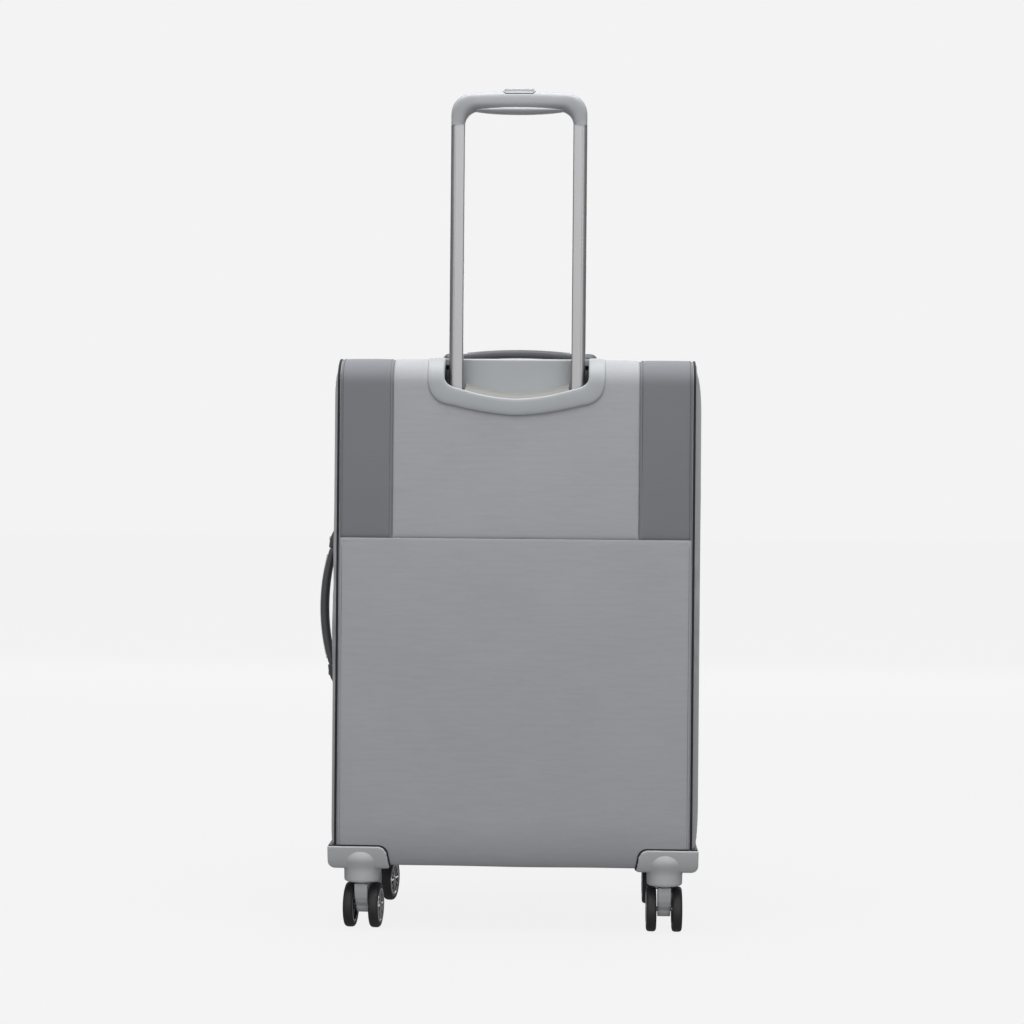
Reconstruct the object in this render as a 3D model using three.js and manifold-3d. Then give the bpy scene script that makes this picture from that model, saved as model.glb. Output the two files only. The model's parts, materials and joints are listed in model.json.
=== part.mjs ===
// Softside upright suitcase on four twin-wheel casters, with a telescopic handle, two carry handles and a zipped lid.
// Millimetres. +Z is up, -Y is the back with the telescopic handle, +Y is the front with the lid and its pockets.
// The origin is on the floor, under the middle of the whole outline.
import * as THREE from "three";
import { mergeVertices } from "three/addons/utils/BufferGeometryUtils.js";
import Module from "manifold-3d";

// ---------------------------------------------------------------- driving dimensions
// The case has its own middle plane. These offsets bring the middle of the whole outline to the origin.
const CASE_X = 10.25;
const CASE_Y = 2;

const GAP = 0.3; // between pieces that touch
const HALF_WIDTH = 213; // from the middle plane to the piping
const BACK = -140; // outer face of the back fabric
const TRAY_FRONT = 90; // where the tray of the case ends and the zip begins
const BOTTOM = 83;
const TOP = 687;
const ROLL = 30; // radius of the rolled back edges, top and bottom
const FABRIC = 2.4;
const BOARD = 3;

const SEAM_Z = 472; // cross seam of the back panel
const DARK_PANEL_X = 147; // inner edge of the dark side panels
const GUSSET_OUT = 219; // shoulder of the padded sides
const CROWN_OUT = 227; // their crown
const CROWN_INSET = 36;
const WELT = 4; // thickness of the piping

const ZIP_TAPE = 3;
const ZIP_CENTRE_Y = 93.5;
const LID_FRONT = 118;
const LID_WALL = 3;
const LID_CORNER = 10;
const LID_POCKET_HALF = 188;
const LID_POCKET_FRONT = 138.5; // face of the lower pocket on the lid
const SLIDER_X = 14;

const GUARD_PROUD = 2.5;
const GUARD_LENGTH = 70;
const GUARD_TOP = 103;
const HOUSING_R = 23.7;
const HOUSING_BOTTOM = 56;

const CASTER_X = 182;
const CASTER_REAR_Y = -116;
const CASTER_FRONT_Y = 66;
const WHEEL_R = 27;
const WHEEL_WIDTH = 12.8;
const WHEEL_OFFSET = 15.4; // wheel centre to fork centre
const WHEEL_SIDES = 20;
const TRAIL = 13;
const FORK_WIDTH = 15.4;
const AXLE_R = 2.8;
const KINGPIN_R = 5;

const TUBE_X = 73.5;
const TUBE_Y = -118;
const INNER_TUBE = { wide: 16.8, deep: 14, wall: 1.2, low: 548, high: 971.7 };
const OUTER_TUBE = { wide: 20.4, deep: 17.6, wall: 1.2, low: 112.3, high: 627 };
const TRAVEL = 313; // of the telescopic handle
const LOCK_Z = 556;
const PIN_R = 2.3;
const ROD_R = 2;

const CUP_HALF = 86; // half the width of the recess for the retracted grip
const CUP_FRONT = -96;
const CUP_WALL = 2;
const CUP_SIDE_LOW = 665;
const CUP_FLOOR = 639;
const BEZEL_PROUD = 2.5;
const BEZEL_WIDTH = 17;
const BEZEL_FRONT = -84;
const TUBE_CORNER = 3.5;
const LINING_Y = -99;

const GRIP_TOP = 1009;
const GRIP_UNDER = 986;
const GRIP_DEEP = 26;
const YOKE_TOP = 999; // cross bar of the release button
const YOKE_HIGH = 4;
const BUTTON_TRAVEL = 4;
const BUTTON_PROUD = 3.5;
const PLUG_HIGH = 28; // solid foot of each inner tube

const HANDLE_HALF = 97;
const HANDLE_Y = -2;
const HANDLE_DEEP = 28;
const HANDLE_CAP = 24;
const HANDLE_THICK = 7;
const HANDLE_RISE = 20.5; // height of the arch
const TOP_HANDLE_END = 7.5; // underside of each handle's ends above the cloth
const SIDE_HANDLE_END = 3;
const SIDE_HANDLE_Z = 384;

// ---------------------------------------------------------------- materials
const paint = (colour, roughness, metalness = 0) =>
  new THREE.MeshStandardMaterial({ color: colour, roughness, metalness });
const lightFabric = paint(0x97989c, 0.9);
const darkFabric = paint(0x737579, 0.9);
const board = paint(0xd8d8d4, 0.6);
const lining = paint(0x55575b, 0.85);
const greyPlastic = paint(0xa0a3a6, 0.45);
const gripPlastic = paint(0x979a9e, 0.5);
const aluminium = paint(0xb8b8b8, 0.3, 1);
const handleRubber = paint(0x56585b, 0.6);
const zipTape = paint(0x4a4c50, 0.8);
const zipMetal = paint(0x8a8c90, 0.35, 1);
const tyre = paint(0x2e2e30, 0.6);
const steel = paint(0x9c9ea0, 0.35, 1);
const darkPlastic = paint(0x3a3b3e, 0.5);

// ---------------------------------------------------------------- solids
const wasm = await Module();
wasm.setup();

// A closed three.js geometry as a solid that can be joined and cut.
function solid(geometry) {
  const bare = geometry.clone();
  bare.deleteAttribute("normal");
  bare.deleteAttribute("uv");
  const merged = mergeVertices(bare, 1e-4);
  return new wasm.Manifold(
    new wasm.Mesh({
      numProp: 3,
      vertProperties: merged.attributes.position.array,
      triVerts: new Uint32Array(merged.index.array),
    }),
  );
}

function geometryOf(made) {
  const mesh = made.getMesh();
  const geometry = new THREE.BufferGeometry();
  const positions = new Float32Array(mesh.vertProperties);
  geometry.setAttribute("position", new THREE.BufferAttribute(positions, 3));
  geometry.setIndex(new THREE.BufferAttribute(new Uint32Array(mesh.triVerts), 1));
  return geometry;
}

function box(x0, x1, y0, y1, z0, z1) {
  const geometry = new THREE.BoxGeometry(x1 - x0, y1 - y0, z1 - z0);
  geometry.translate((x0 + x1) / 2, (y0 + y1) / 2, (z0 + z1) / 2);
  return solid(geometry);
}

// A shape drawn in Y and Z, pushed along X from x0 to x1.
function alongX(shape, x0, x1, curveSegments = 6) {
  const geometry = new THREE.ExtrudeGeometry(shape, { depth: x1 - x0, bevelEnabled: false, curveSegments });
  const turn = new THREE.Matrix4().makeBasis(
    new THREE.Vector3(0, 1, 0),
    new THREE.Vector3(0, 0, 1),
    new THREE.Vector3(1, 0, 0),
  );
  geometry.applyMatrix4(turn);
  geometry.translate(x0, 0, 0);
  return solid(geometry);
}

// A shape drawn in X and Z, pushed along Y from y0 to y1, with an optional rounded edge.
function alongY(shape, y0, y1, curveSegments = 6, bevel = 0) {
  const geometry = new THREE.ExtrudeGeometry(shape, {
    depth: y1 - y0 - 2 * bevel,
    bevelEnabled: bevel > 0,
    bevelSize: bevel,
    bevelThickness: bevel,
    bevelOffset: -bevel,
    bevelSegments: 2,
    curveSegments,
  });
  const turn = new THREE.Matrix4().makeBasis(
    new THREE.Vector3(1, 0, 0),
    new THREE.Vector3(0, 0, 1),
    new THREE.Vector3(0, -1, 0),
  );
  geometry.applyMatrix4(turn);
  geometry.translate(0, y1 - bevel, 0);
  return solid(geometry);
}

// A shape drawn in X and Y, pushed up from z0 to z1.
function alongZ(shape, z0, z1, curveSegments = 3) {
  const geometry = new THREE.ExtrudeGeometry(shape, { depth: z1 - z0, bevelEnabled: false, curveSegments });
  geometry.translate(0, 0, z0);
  return solid(geometry);
}

function upright(radius, x, y, z0, z1, sides = 24) {
  const geometry = new THREE.CylinderGeometry(radius, radius, z1 - z0, sides);
  geometry.rotateX(Math.PI / 2);
  geometry.translate(x, y, (z0 + z1) / 2);
  return solid(geometry);
}

function crosswise(radius, x0, x1, y, z, sides = 12) {
  const geometry = new THREE.CylinderGeometry(radius, radius, x1 - x0, sides);
  geometry.rotateZ(Math.PI / 2);
  geometry.translate((x0 + x1) / 2, y, z);
  return solid(geometry);
}

function roundedRectangle(u0, u1, v0, v1, radius) {
  const shape = new THREE.Shape();
  shape.moveTo(u0 + radius, v0);
  shape.lineTo(u1 - radius, v0);
  shape.absarc(u1 - radius, v0 + radius, radius, -Math.PI / 2, 0);
  shape.lineTo(u1, v1 - radius);
  shape.absarc(u1 - radius, v1 - radius, radius, 0, Math.PI / 2);
  shape.lineTo(u0 + radius, v1);
  shape.absarc(u0 + radius, v1 - radius, radius, Math.PI / 2, Math.PI);
  shape.lineTo(u0, v0 + radius);
  shape.absarc(u0 + radius, v0 + radius, radius, Math.PI, 1.5 * Math.PI);
  return shape;
}

// The side outline of the case in Y and Z, moved inwards by inset: rolled at the back, square at the front.
function trayOutline(inset, front = TRAY_FRONT) {
  const back = BACK + inset;
  const low = BOTTOM + inset;
  const high = TOP - inset;
  const radius = Math.max(ROLL - inset, 4);
  const shape = new THREE.Shape();
  shape.moveTo(front, low);
  shape.lineTo(front, high);
  shape.lineTo(back + radius, high);
  shape.absarc(back + radius, high - radius, radius, Math.PI / 2, Math.PI);
  shape.lineTo(back, low + radius);
  shape.absarc(back + radius, low + radius, radius, Math.PI, 1.5 * Math.PI);
  return shape;
}

const trayBody = (inset, x0, x1, front) => alongX(trayOutline(inset, front), x0, x1);

// ---------------------------------------------------------------- assembly
const suitcase = new THREE.Group();
suitcase.position.set(CASE_X, CASE_Y, 0);

function place(name, made, material, parent = suitcase) {
  const mesh = new THREE.Mesh(geometryOf(made), material);
  mesh.name = name;
  parent.add(mesh);
  return mesh;
}

const SIDES = [
  ["left", -1],
  ["right", 1],
];
const span = (side, near, far) => (side < 0 ? [-far, -near] : [near, far]);

// ---- recess for the retracted grip: the boat-shaped opening in the top back edge
// The outline grows by the given amount on all sides and stays open at the top.
function recessOutline(grow) {
  const half = CUP_HALF + grow;
  const shoulder = CUP_HALF - 18 + grow / 2;
  const low = CUP_FLOOR - grow;
  const shape = new THREE.Shape();
  shape.moveTo(-half, TOP + 40);
  shape.lineTo(-half, CUP_SIDE_LOW);
  shape.quadraticCurveTo(-half, low + 15, -shoulder, low + 12);
  shape.quadraticCurveTo(-CUP_HALF * 0.4, low + 1, 0, low);
  shape.quadraticCurveTo(CUP_HALF * 0.4, low + 1, shoulder, low + 12);
  shape.quadraticCurveTo(half, low + 15, half, CUP_SIDE_LOW);
  shape.lineTo(half, TOP + 40);
  return shape;
}
const recess = (grow, y0, y1) => alongY(recessOutline(grow), y0, y1, 4);

// ---- stiff inner frame, bent from plastic board and open at the front
const recessCut = recess(CUP_WALL + GAP, BACK - 20, CUP_FRONT + CUP_WALL + GAP);
const frameInset = FABRIC + GAP;
const frameHalf = HALF_WIDTH - FABRIC - 1;
const frameHollow = trayBody(frameInset + BOARD, -frameHalf + BOARD, frameHalf - BOARD, TRAY_FRONT + 20);
place("frame_shell", trayBody(frameInset, -frameHalf, frameHalf).subtract(frameHollow).subtract(recessCut), board);

// ---- back and top fabric, sewn from four panels
const skinHalf = HALF_WIDTH - 3;
const hollowOf = (inset, x0, x1) => trayBody(inset, x0 - 1, x1 + 1, TRAY_FRONT + 20);
const skin = (x0, x1) => trayBody(0, x0, x1).subtract(hollowOf(FABRIC, x0, x1));
const aboveSeam = box(-300, 300, -200, 200, SEAM_Z + GAP / 2, 800);
const belowSeam = box(-300, 300, -200, 200, 0, SEAM_Z - GAP / 2);
place("back_panel_lower", skin(-skinHalf, skinHalf).intersect(belowSeam), lightFabric);
const centreHalf = DARK_PANEL_X - GAP / 2;
place("back_panel_centre", skin(-centreHalf, centreHalf).intersect(aboveSeam).subtract(recessCut), lightFabric);
for (const [name, side] of SIDES) {
  const [x0, x1] = span(side, DARK_PANEL_X + GAP / 2, skinHalf);
  place("back_panel_dark_" + name, skin(x0, x1).intersect(aboveSeam), darkFabric);
}

// ---- piping along the seam of the back panel with each side
const weltIn = skinHalf + GAP;
const weltOut = weltIn + WELT;
for (const [name, side] of SIDES) {
  const [x0, x1] = span(side, weltIn, weltOut);
  place("piping_" + name, trayBody(0, x0, x1).subtract(hollowOf(WELT, x0, x1)), darkFabric);
}

// ---- padded sides, thicker towards the middle of their depth
for (const [name, side] of SIDES) {
  const slab = (inset, near, far) => {
    const [x0, x1] = span(side, near, far);
    return trayBody(inset, x0, x1, TRAY_FRONT - inset + WELT);
  };
  const flat = slab(WELT + GAP, frameHalf + GAP, weltOut);
  const shoulder = slab(WELT + 8, weltOut - 1, GUSSET_OUT);
  const crown = slab(CROWN_INSET, GUSSET_OUT - 1, CROWN_OUT);
  place("side_gusset_" + name, flat.add(shoulder).add(crown), lightFabric);
}

// ---- telescopic handle's bezel, which wraps the opening over the rolled edge
const bezelBlock = trayBody(-BEZEL_PROUD, -150, 150, BEZEL_FRONT);
const bezelOutline = (grow) => recess(grow, BACK - 10, BEZEL_FRONT);
const bezelShell = bezelBlock
  .intersect(bezelOutline(BEZEL_WIDTH))
  .intersect(box(-150, 150, BACK - 10, BEZEL_FRONT, 600, TOP + BEZEL_PROUD))
  .subtract(trayBody(-GAP, -200, 200));
const bezelHole = recess(0, BACK - 10, CUP_FRONT);
place("trolley_bezel", bezelShell.subtract(bezelHole), greyPlastic);

// ---- cup that takes the retracted grip, with collars around the sliding tubes
const tubeShape = (wide, deep, x = 0, y = 0) =>
  roundedRectangle(x - wide / 2, x + wide / 2, y - deep / 2, y + deep / 2, TUBE_CORNER);
const tubeBar = (wide, deep, x, z0, z1) => alongZ(tubeShape(wide, deep, x, TUBE_Y), z0, z1);
const cupOuter = recess(CUP_WALL, BACK + frameInset, CUP_FRONT + CUP_WALL);
const cupHollow = recess(0, BACK - 10, CUP_FRONT);
const belowTop = box(-200, 200, -200, 200, 500, TOP - GAP);
let cup = cupOuter.subtract(cupHollow).intersect(trayBody(GAP, -200, 200)).intersect(belowTop);
for (const [, side] of SIDES) {
  const collar = tubeBar(INNER_TUBE.wide + 5, INNER_TUBE.deep + 5, side * TUBE_X, 632, 656);
  const bore = tubeBar(INNER_TUBE.wide + 1, INNER_TUBE.deep + 1, side * TUBE_X, 600, 700);
  cup = cup.add(collar).subtract(bore);
}
place("trolley_pocket", cup, greyPlastic);

// ---- fixed outer tubes, and the bracket under them
for (const [name, side] of SIDES) {
  const { wide, deep, wall, low, high } = OUTER_TUBE;
  const x = side * TUBE_X;
  let tube = tubeBar(wide, deep, x, low, high).subtract(tubeBar(wide - 2 * wall, deep - 2 * wall, x, 0, 700));
  for (const z of [LOCK_Z, LOCK_Z - TRAVEL]) {
    const [x0, x1] = span(side, TUBE_X + 5, TUBE_X + 15);
    tube = tube.subtract(crosswise(PIN_R + 0.8, x0, x1, TUBE_Y, z, 8));
  }
  place("outer_tube_" + name, tube, aluminium);
}
const footShape = roundedRectangle(-95, 95, BOTTOM + frameInset + BOARD + GAP, OUTER_TUBE.low - GAP, 5);
const footSpace = trayBody(frameInset + BOARD + GAP, -100, 100);
place("trolley_foot", alongY(footShape, BACK + 5, LINING_Y - 2, 2).intersect(footSpace), darkPlastic);

// ---- lining that covers the tubes inside the case
const liningHigh = 628;
place("back_lining", box(-frameHalf + 4, frameHalf - 4, LINING_Y - 1.5, LINING_Y, BOTTOM + 8, liningHigh), lining);

// ---- telescopic handle: inner tubes that slide in the outer ones
const rodBore = (x, z0, z1) => box(x - 2.7, x + 2.7, TUBE_Y - 2.7, TUBE_Y + 2.7, z0, z1);
for (const [name, side] of SIDES) {
  const { wide, deep, wall, low, high } = INNER_TUBE;
  const x = side * TUBE_X;
  const hollow = tubeBar(wide - 2 * wall, deep - 2 * wall, x, low + PLUG_HIGH, 1000);
  const [pin0, pin1] = span(side, TUBE_X - 5.5, TUBE_X + 12);
  const pinBore = crosswise(PIN_R + 0.4, pin0, pin1, TUBE_Y, LOCK_Z, 8);
  const tube = tubeBar(wide, deep, x, low, high).subtract(hollow).subtract(rodBore(x, LOCK_Z - 3, 1000));
  place("inner_tube_" + name, tube.subtract(pinBore), aluminium);
}

// ---- grip: a hollow U with a tenon down into each tube
const gripShape = new THREE.Shape();
const gripHalf = TUBE_X + INNER_TUBE.wide / 2;
const legInner = TUBE_X - INNER_TUBE.wide / 2;
const legLow = INNER_TUBE.high + GAP;
gripShape.moveTo(-gripHalf, legLow);
gripShape.lineTo(-legInner, legLow);
gripShape.quadraticCurveTo(-legInner, GRIP_UNDER, -legInner + 16, GRIP_UNDER);
gripShape.lineTo(legInner - 16, GRIP_UNDER);
gripShape.quadraticCurveTo(legInner, GRIP_UNDER, legInner, legLow);
gripShape.lineTo(gripHalf, legLow);
gripShape.quadraticCurveTo(gripHalf + 0.5, GRIP_TOP - 2, gripHalf - 26, GRIP_TOP - 1);
gripShape.quadraticCurveTo(0, GRIP_TOP + 1, -gripHalf + 26, GRIP_TOP - 1);
gripShape.quadraticCurveTo(-gripHalf - 0.5, GRIP_TOP - 2, -gripHalf, legLow);
let grip = alongY(gripShape, TUBE_Y - GRIP_DEEP / 2, TUBE_Y + GRIP_DEEP / 2, 6, 2.5);
const legTaper = (side) =>
  box(...span(side, legInner - 2, gripHalf + 2), -200, TUBE_Y - INNER_TUBE.deep / 2 - 1, 960, legLow + 12);
const legTaperFront = (side) =>
  box(...span(side, legInner - 2, gripHalf + 2), TUBE_Y + INNER_TUBE.deep / 2 + 1, -50, 960, legLow + 12);
for (const [, side] of SIDES) {
  grip = grip.subtract(legTaper(side)).subtract(legTaperFront(side));
  const wide = INNER_TUBE.wide - 2 * INNER_TUBE.wall - 2 * GAP;
  const deep = INNER_TUBE.deep - 2 * INNER_TUBE.wall - 2 * GAP;
  grip = grip.add(tubeBar(wide, deep, side * TUBE_X, legLow - 22, legLow + 4));
  grip = grip.subtract(rodBore(side * TUBE_X, 900, YOKE_TOP + 2));
}
const channelLow = GRIP_UNDER + 2.5;
const yokeHalf = TUBE_X + 2.2;
grip = grip.subtract(box(-yokeHalf - 1, yokeHalf + 1, TUBE_Y - 4, TUBE_Y + 4, channelLow, YOKE_TOP + 2));
const slotShape = roundedRectangle(-18.4, 18.4, TUBE_Y - 7.4, TUBE_Y + 7.4, 3);
grip = grip.subtract(alongZ(slotShape, YOKE_TOP - BUTTON_TRAVEL - 1 - GAP, 1100));
place("grip", grip, gripPlastic);

const lens = new THREE.Shape();
lens.moveTo(-55, GRIP_UNDER - 3 * GAP);
lens.quadraticCurveTo(0, GRIP_UNDER - 9, 55, GRIP_UNDER - 3 * GAP);
place("grip_insert", alongY(lens, TUBE_Y - 10, TUBE_Y + 10, 8), greyPlastic);

// ---- release button with its cross bar, return spring, push rods and lock pins
const buttonShape = roundedRectangle(-18, 18, TUBE_Y - 7, TUBE_Y + 7, 3);
const yoke = box(-yokeHalf, yokeHalf, TUBE_Y - 3.5, TUBE_Y + 3.5, YOKE_TOP - YOKE_HIGH, YOKE_TOP);
place("release_button", alongZ(buttonShape, YOKE_TOP - 1, GRIP_TOP + BUTTON_PROUD).add(yoke), gripPlastic);

const leaf = new THREE.Shape();
const leafLow = channelLow + GAP;
const leafHigh = YOKE_TOP - YOKE_HIGH - GAP;
leaf.moveTo(-16, leafLow);
leaf.lineTo(-12, leafLow);
leaf.lineTo(-3, leafHigh - 0.8);
leaf.lineTo(3, leafHigh - 0.8);
leaf.lineTo(12, leafLow);
leaf.lineTo(16, leafLow);
leaf.lineTo(16, leafLow + 0.8);
leaf.lineTo(12.4, leafLow + 0.8);
leaf.lineTo(3.4, leafHigh);
leaf.lineTo(-3.4, leafHigh);
leaf.lineTo(-12.4, leafLow + 0.8);
leaf.lineTo(-16, leafLow + 0.8);
place("button_spring", alongY(leaf, TUBE_Y - 3, TUBE_Y + 3), steel);

// Each rod ends just above its pin when the button is down. The pins are flush with the tubes, so the handle can slide.
const rodLow = LOCK_Z + PIN_R + BUTTON_TRAVEL + 2 * GAP;
for (const [name, side] of SIDES) {
  place("push_rod_" + name, upright(ROD_R, side * TUBE_X, TUBE_Y, rodLow, YOKE_TOP - YOKE_HIGH - GAP, 8), steel);
  const [pin0, pin1] = span(side, TUBE_X - ROD_R, gripHalf - 0.1);
  place("lock_pin_" + name, crosswise(PIN_R, pin0, pin1, TUBE_Y, LOCK_Z, 8), steel);
}

// ---- carry handles: a rubber-covered grip that lifts, and two end caps that stay
function handleGrip(end) {
  const shape = new THREE.Shape();
  const half = HANDLE_HALF - HANDLE_CAP - GAP;
  const pull = 2 * (HANDLE_RISE - HANDLE_THICK) - end;
  shape.moveTo(-half, end);
  shape.quadraticCurveTo(0, pull, half, end);
  shape.lineTo(half, end + HANDLE_THICK);
  shape.quadraticCurveTo(0, pull + HANDLE_THICK, -half, end + HANDLE_THICK);
  return alongY(shape, -HANDLE_DEEP / 2, HANDLE_DEEP / 2, 8, 1.2);
}
function handleCap(side, end) {
  const shape = new THREE.Shape();
  const inner = side * (HANDLE_HALF - HANDLE_CAP);
  const outer = side * HANDLE_HALF;
  const high = end + HANDLE_THICK + 1;
  shape.moveTo(inner, GAP);
  shape.lineTo(inner, high);
  shape.quadraticCurveTo(outer, high, outer, GAP);
  return alongY(shape, -HANDLE_DEEP / 2 - 1, HANDLE_DEEP / 2 + 1, 4);
}
const onTop = (made) => made.translate(0, HANDLE_Y, TOP);
const onSide = (made) => made.rotate(0, -90, 0).translate(-CROWN_OUT, HANDLE_Y, SIDE_HANDLE_Z);
place("top_handle_grip", onTop(handleGrip(TOP_HANDLE_END)), handleRubber);
place("side_handle_grip", onSide(handleGrip(SIDE_HANDLE_END)), handleRubber);
for (const [name, side] of SIDES) {
  place("top_handle_cap_" + name, onTop(handleCap(side, TOP_HANDLE_END)), darkPlastic);
  place("side_handle_cap_" + (side < 0 ? "lower" : "upper"), onSide(handleCap(side, SIDE_HANDLE_END)), darkPlastic);
}

// ---- main zip: one tape on the case and one on the lid
const frontOutline = (inset) =>
  roundedRectangle(
    -HALF_WIDTH + inset,
    HALF_WIDTH - inset,
    BOTTOM + inset,
    TOP - inset,
    Math.max(LID_CORNER - inset, 3),
  );
const ring = (inset, wall, y0, y1) =>
  alongY(frontOutline(inset), y0, y1, 3).subtract(alongY(frontOutline(inset + wall), y0 - 1, y1 + 1, 3));
place("zip_tape_case", ring(0, 4, TRAY_FRONT + GAP, ZIP_CENTRE_Y - GAP / 2), zipTape);
place("zip_tape_lid", ring(0, 4, ZIP_CENTRE_Y + GAP / 2, ZIP_CENTRE_Y + ZIP_TAPE), zipTape);

// ---- sliders on the top stretch of the zip, each with a pull
for (const [name, side] of SIDES) {
  const x = side * SLIDER_X;
  const z = TOP + GAP;
  const bodyShape = roundedRectangle(x - 6, x + 6, ZIP_CENTRE_Y - 4.5, ZIP_CENTRE_Y + 4.5, 2);
  const bridge = box(x - 1.5, x + 1.5, ZIP_CENTRE_Y - 3, ZIP_CENTRE_Y + 3, z + 2, z + 5);
  const eye = box(x - 2, x + 2, ZIP_CENTRE_Y - 1.8, ZIP_CENTRE_Y + 1.8, z + 2.5, z + 4);
  place("zip_slider_" + name, alongZ(bodyShape, z, z + 2.5).add(bridge).subtract(eye), zipMetal);
}

// ---- lid: a shallow tray of board and fabric, with two pockets on its face
const lidBack = ZIP_CENTRE_Y + ZIP_TAPE + GAP;
const lidHollow = alongY(frontOutline(LID_WALL), lidBack - 1, LID_FRONT - LID_WALL, 4);
place("lid_shell", alongY(frontOutline(0), lidBack, LID_FRONT, 4).subtract(lidHollow), lightFabric);
const pocketOutline = (z0, z1) => roundedRectangle(-LID_POCKET_HALF, LID_POCKET_HALF, z0, z1, 18);
const pocket = (z0, z1, out) => alongY(pocketOutline(z0, z1), LID_FRONT + GAP, out, 3, 6);
place("front_pocket_lower", pocket(108, 432, LID_POCKET_FRONT), lightFabric);
place("front_pocket_upper", pocket(446, 662, LID_POCKET_FRONT - 6), lightFabric);

// ---- corner guards with their caster housings, forks, axles and wheels
const CORNERS = [
  { name: "rear_left", side: -1, rear: true, swivel: -4 },
  { name: "rear_right", side: 1, rear: true, swivel: 0 },
  { name: "front_left", side: -1, rear: false, swivel: -9 },
  { name: "front_right", side: 1, rear: false, swivel: 0 },
];

function cornerGuard({ side, rear }) {
  const [x0, x1] = span(side, GUSSET_OUT + GUARD_PROUD - GUARD_LENGTH, GUSSET_OUT + GUARD_PROUD);
  const casterY = rear ? CASTER_REAR_Y : CASTER_FRONT_Y;
  const front = TRAY_FRONT - GAP;
  const [y0, y1] = rear ? [BACK - GUARD_PROUD, BACK - GUARD_PROUD + GUARD_LENGTH] : [front - GUARD_LENGTH, front];
  const shell = trayBody(-GUARD_PROUD, x0, x1, front).intersect(box(x0, x1, y0, y1, 70, GUARD_TOP));
  const sideCurve = roundedRectangle(-GUSSET_OUT - GUARD_PROUD, GUSSET_OUT + GUARD_PROUD, 77, 300, 8);
  const curved = shell.intersect(alongY(sideCurve, -200, 200, 4));
  const x = side * CASTER_X;
  const dome = upright(HOUSING_R, x, casterY, 77, 98);
  const domeBack = box(-300, 300, BACK, front, 60, 100);
  const barrel = upright(HOUSING_R - 2.2, x, casterY, HOUSING_BOTTOM, 80);
  const fabric = trayBody(-GAP, -weltOut - GAP, weltOut + GAP, TRAY_FRONT + 5);
  const padding = trayBody(WELT + 7, -GUSSET_OUT - GAP, GUSSET_OUT + GAP, TRAY_FRONT + 5);
  const kingpinBore = upright(KINGPIN_R + 0.4, x, casterY, 50, 78, 16);
  return curved.add(dome.intersect(domeBack)).add(barrel).subtract(fabric).subtract(padding).subtract(kingpinBore);
}

// Side view of the fork in Y and Z, with the swivel axis at Y = 0 and the axle behind it.
function forkShape() {
  const high = HOUSING_BOTTOM - 0.5;
  const radius = 9;
  const shape = new THREE.Shape();
  shape.moveTo(-9.5, high);
  shape.quadraticCurveTo(-8, WHEEL_R + 8, TRAIL - radius, WHEEL_R);
  shape.absarc(TRAIL, WHEEL_R, radius, Math.PI, 2 * Math.PI);
  shape.lineTo(TRAIL + radius, high - 6);
  shape.quadraticCurveTo(TRAIL + radius, high, TRAIL + 2, high);
  return shape;
}

function wheel(x) {
  const rim = WHEEL_R / Math.cos(Math.PI / WHEEL_SIDES);
  const bore = AXLE_R + 0.4;
  const half = WHEEL_WIDTH / 2;
  const profile = [
    [bore, -half],
    [rim - 3.5, -half],
    [rim, -half + 3],
    [rim, half - 3],
    [rim - 3.5, half],
    [bore, half],
    [bore, -half],
  ].map(([r, w]) => new THREE.Vector2(r, w));
  const geometry = new THREE.LatheGeometry(profile, WHEEL_SIDES);
  geometry.rotateY(Math.PI / WHEEL_SIDES);
  geometry.rotateZ(Math.PI / 2);
  geometry.translate(x, TRAIL, WHEEL_R);
  return solid(geometry);
}

for (const corner of CORNERS) {
  place("corner_guard_" + corner.name, cornerGuard(corner), greyPlastic);
  const caster = new THREE.Group();
  caster.position.set(corner.side * CASTER_X, corner.rear ? CASTER_REAR_Y : CASTER_FRONT_Y, 0);
  caster.rotation.z = THREE.MathUtils.degToRad(corner.swivel);
  suitcase.add(caster);
  const kingpin = upright(KINGPIN_R, 0, 0, HOUSING_BOTTOM - 1, 76, 12);
  const axleBore = crosswise(AXLE_R + 0.35, -20, 20, TRAIL, WHEEL_R, 12);
  const fork = alongX(forkShape(), -FORK_WIDTH / 2, FORK_WIDTH / 2, 4).add(kingpin).subtract(axleBore);
  place("fork_" + corner.name, fork, greyPlastic, caster);
  const axleHalf = WHEEL_OFFSET + WHEEL_WIDTH / 2 - 1;
  place("axle_" + corner.name, crosswise(AXLE_R, -axleHalf, axleHalf, TRAIL, WHEEL_R), steel, caster);
  place("wheel_" + corner.name + "_a", wheel(-WHEEL_OFFSET), tyre, caster);
  place("wheel_" + corner.name + "_b", wheel(WHEEL_OFFSET), tyre, caster);
}

// ---- pull tabs, lying flat behind the zip: a cross bar through the slider's eye, two arms and a tab
const PULL_HALF = 4;
const BAR_HALF = 0.4;
for (const [name, side] of SIDES) {
  const x = side * SLIDER_X;
  const axis = TOP + GAP + 3.15;
  const arm = (x0) => box(x0, x0 + 1, ZIP_CENTRE_Y - 9, ZIP_CENTRE_Y + BAR_HALF, axis - BAR_HALF, axis + BAR_HALF);
  const bar = box(
    x - PULL_HALF,
    x + PULL_HALF,
    ZIP_CENTRE_Y - BAR_HALF,
    ZIP_CENTRE_Y + BAR_HALF,
    axis - BAR_HALF,
    axis + BAR_HALF,
  );
  const tabShape = roundedRectangle(x - PULL_HALF, x + PULL_HALF, ZIP_CENTRE_Y - 40, ZIP_CENTRE_Y - 5.5, 3);
  const tab = alongZ(tabShape, axis - 1.5, axis + 0.5);
  place("zip_pull_" + name, tab.add(bar).add(arm(x - PULL_HALF)).add(arm(x + PULL_HALF - 1)), zipMetal);
}

export default suitcase;
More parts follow.
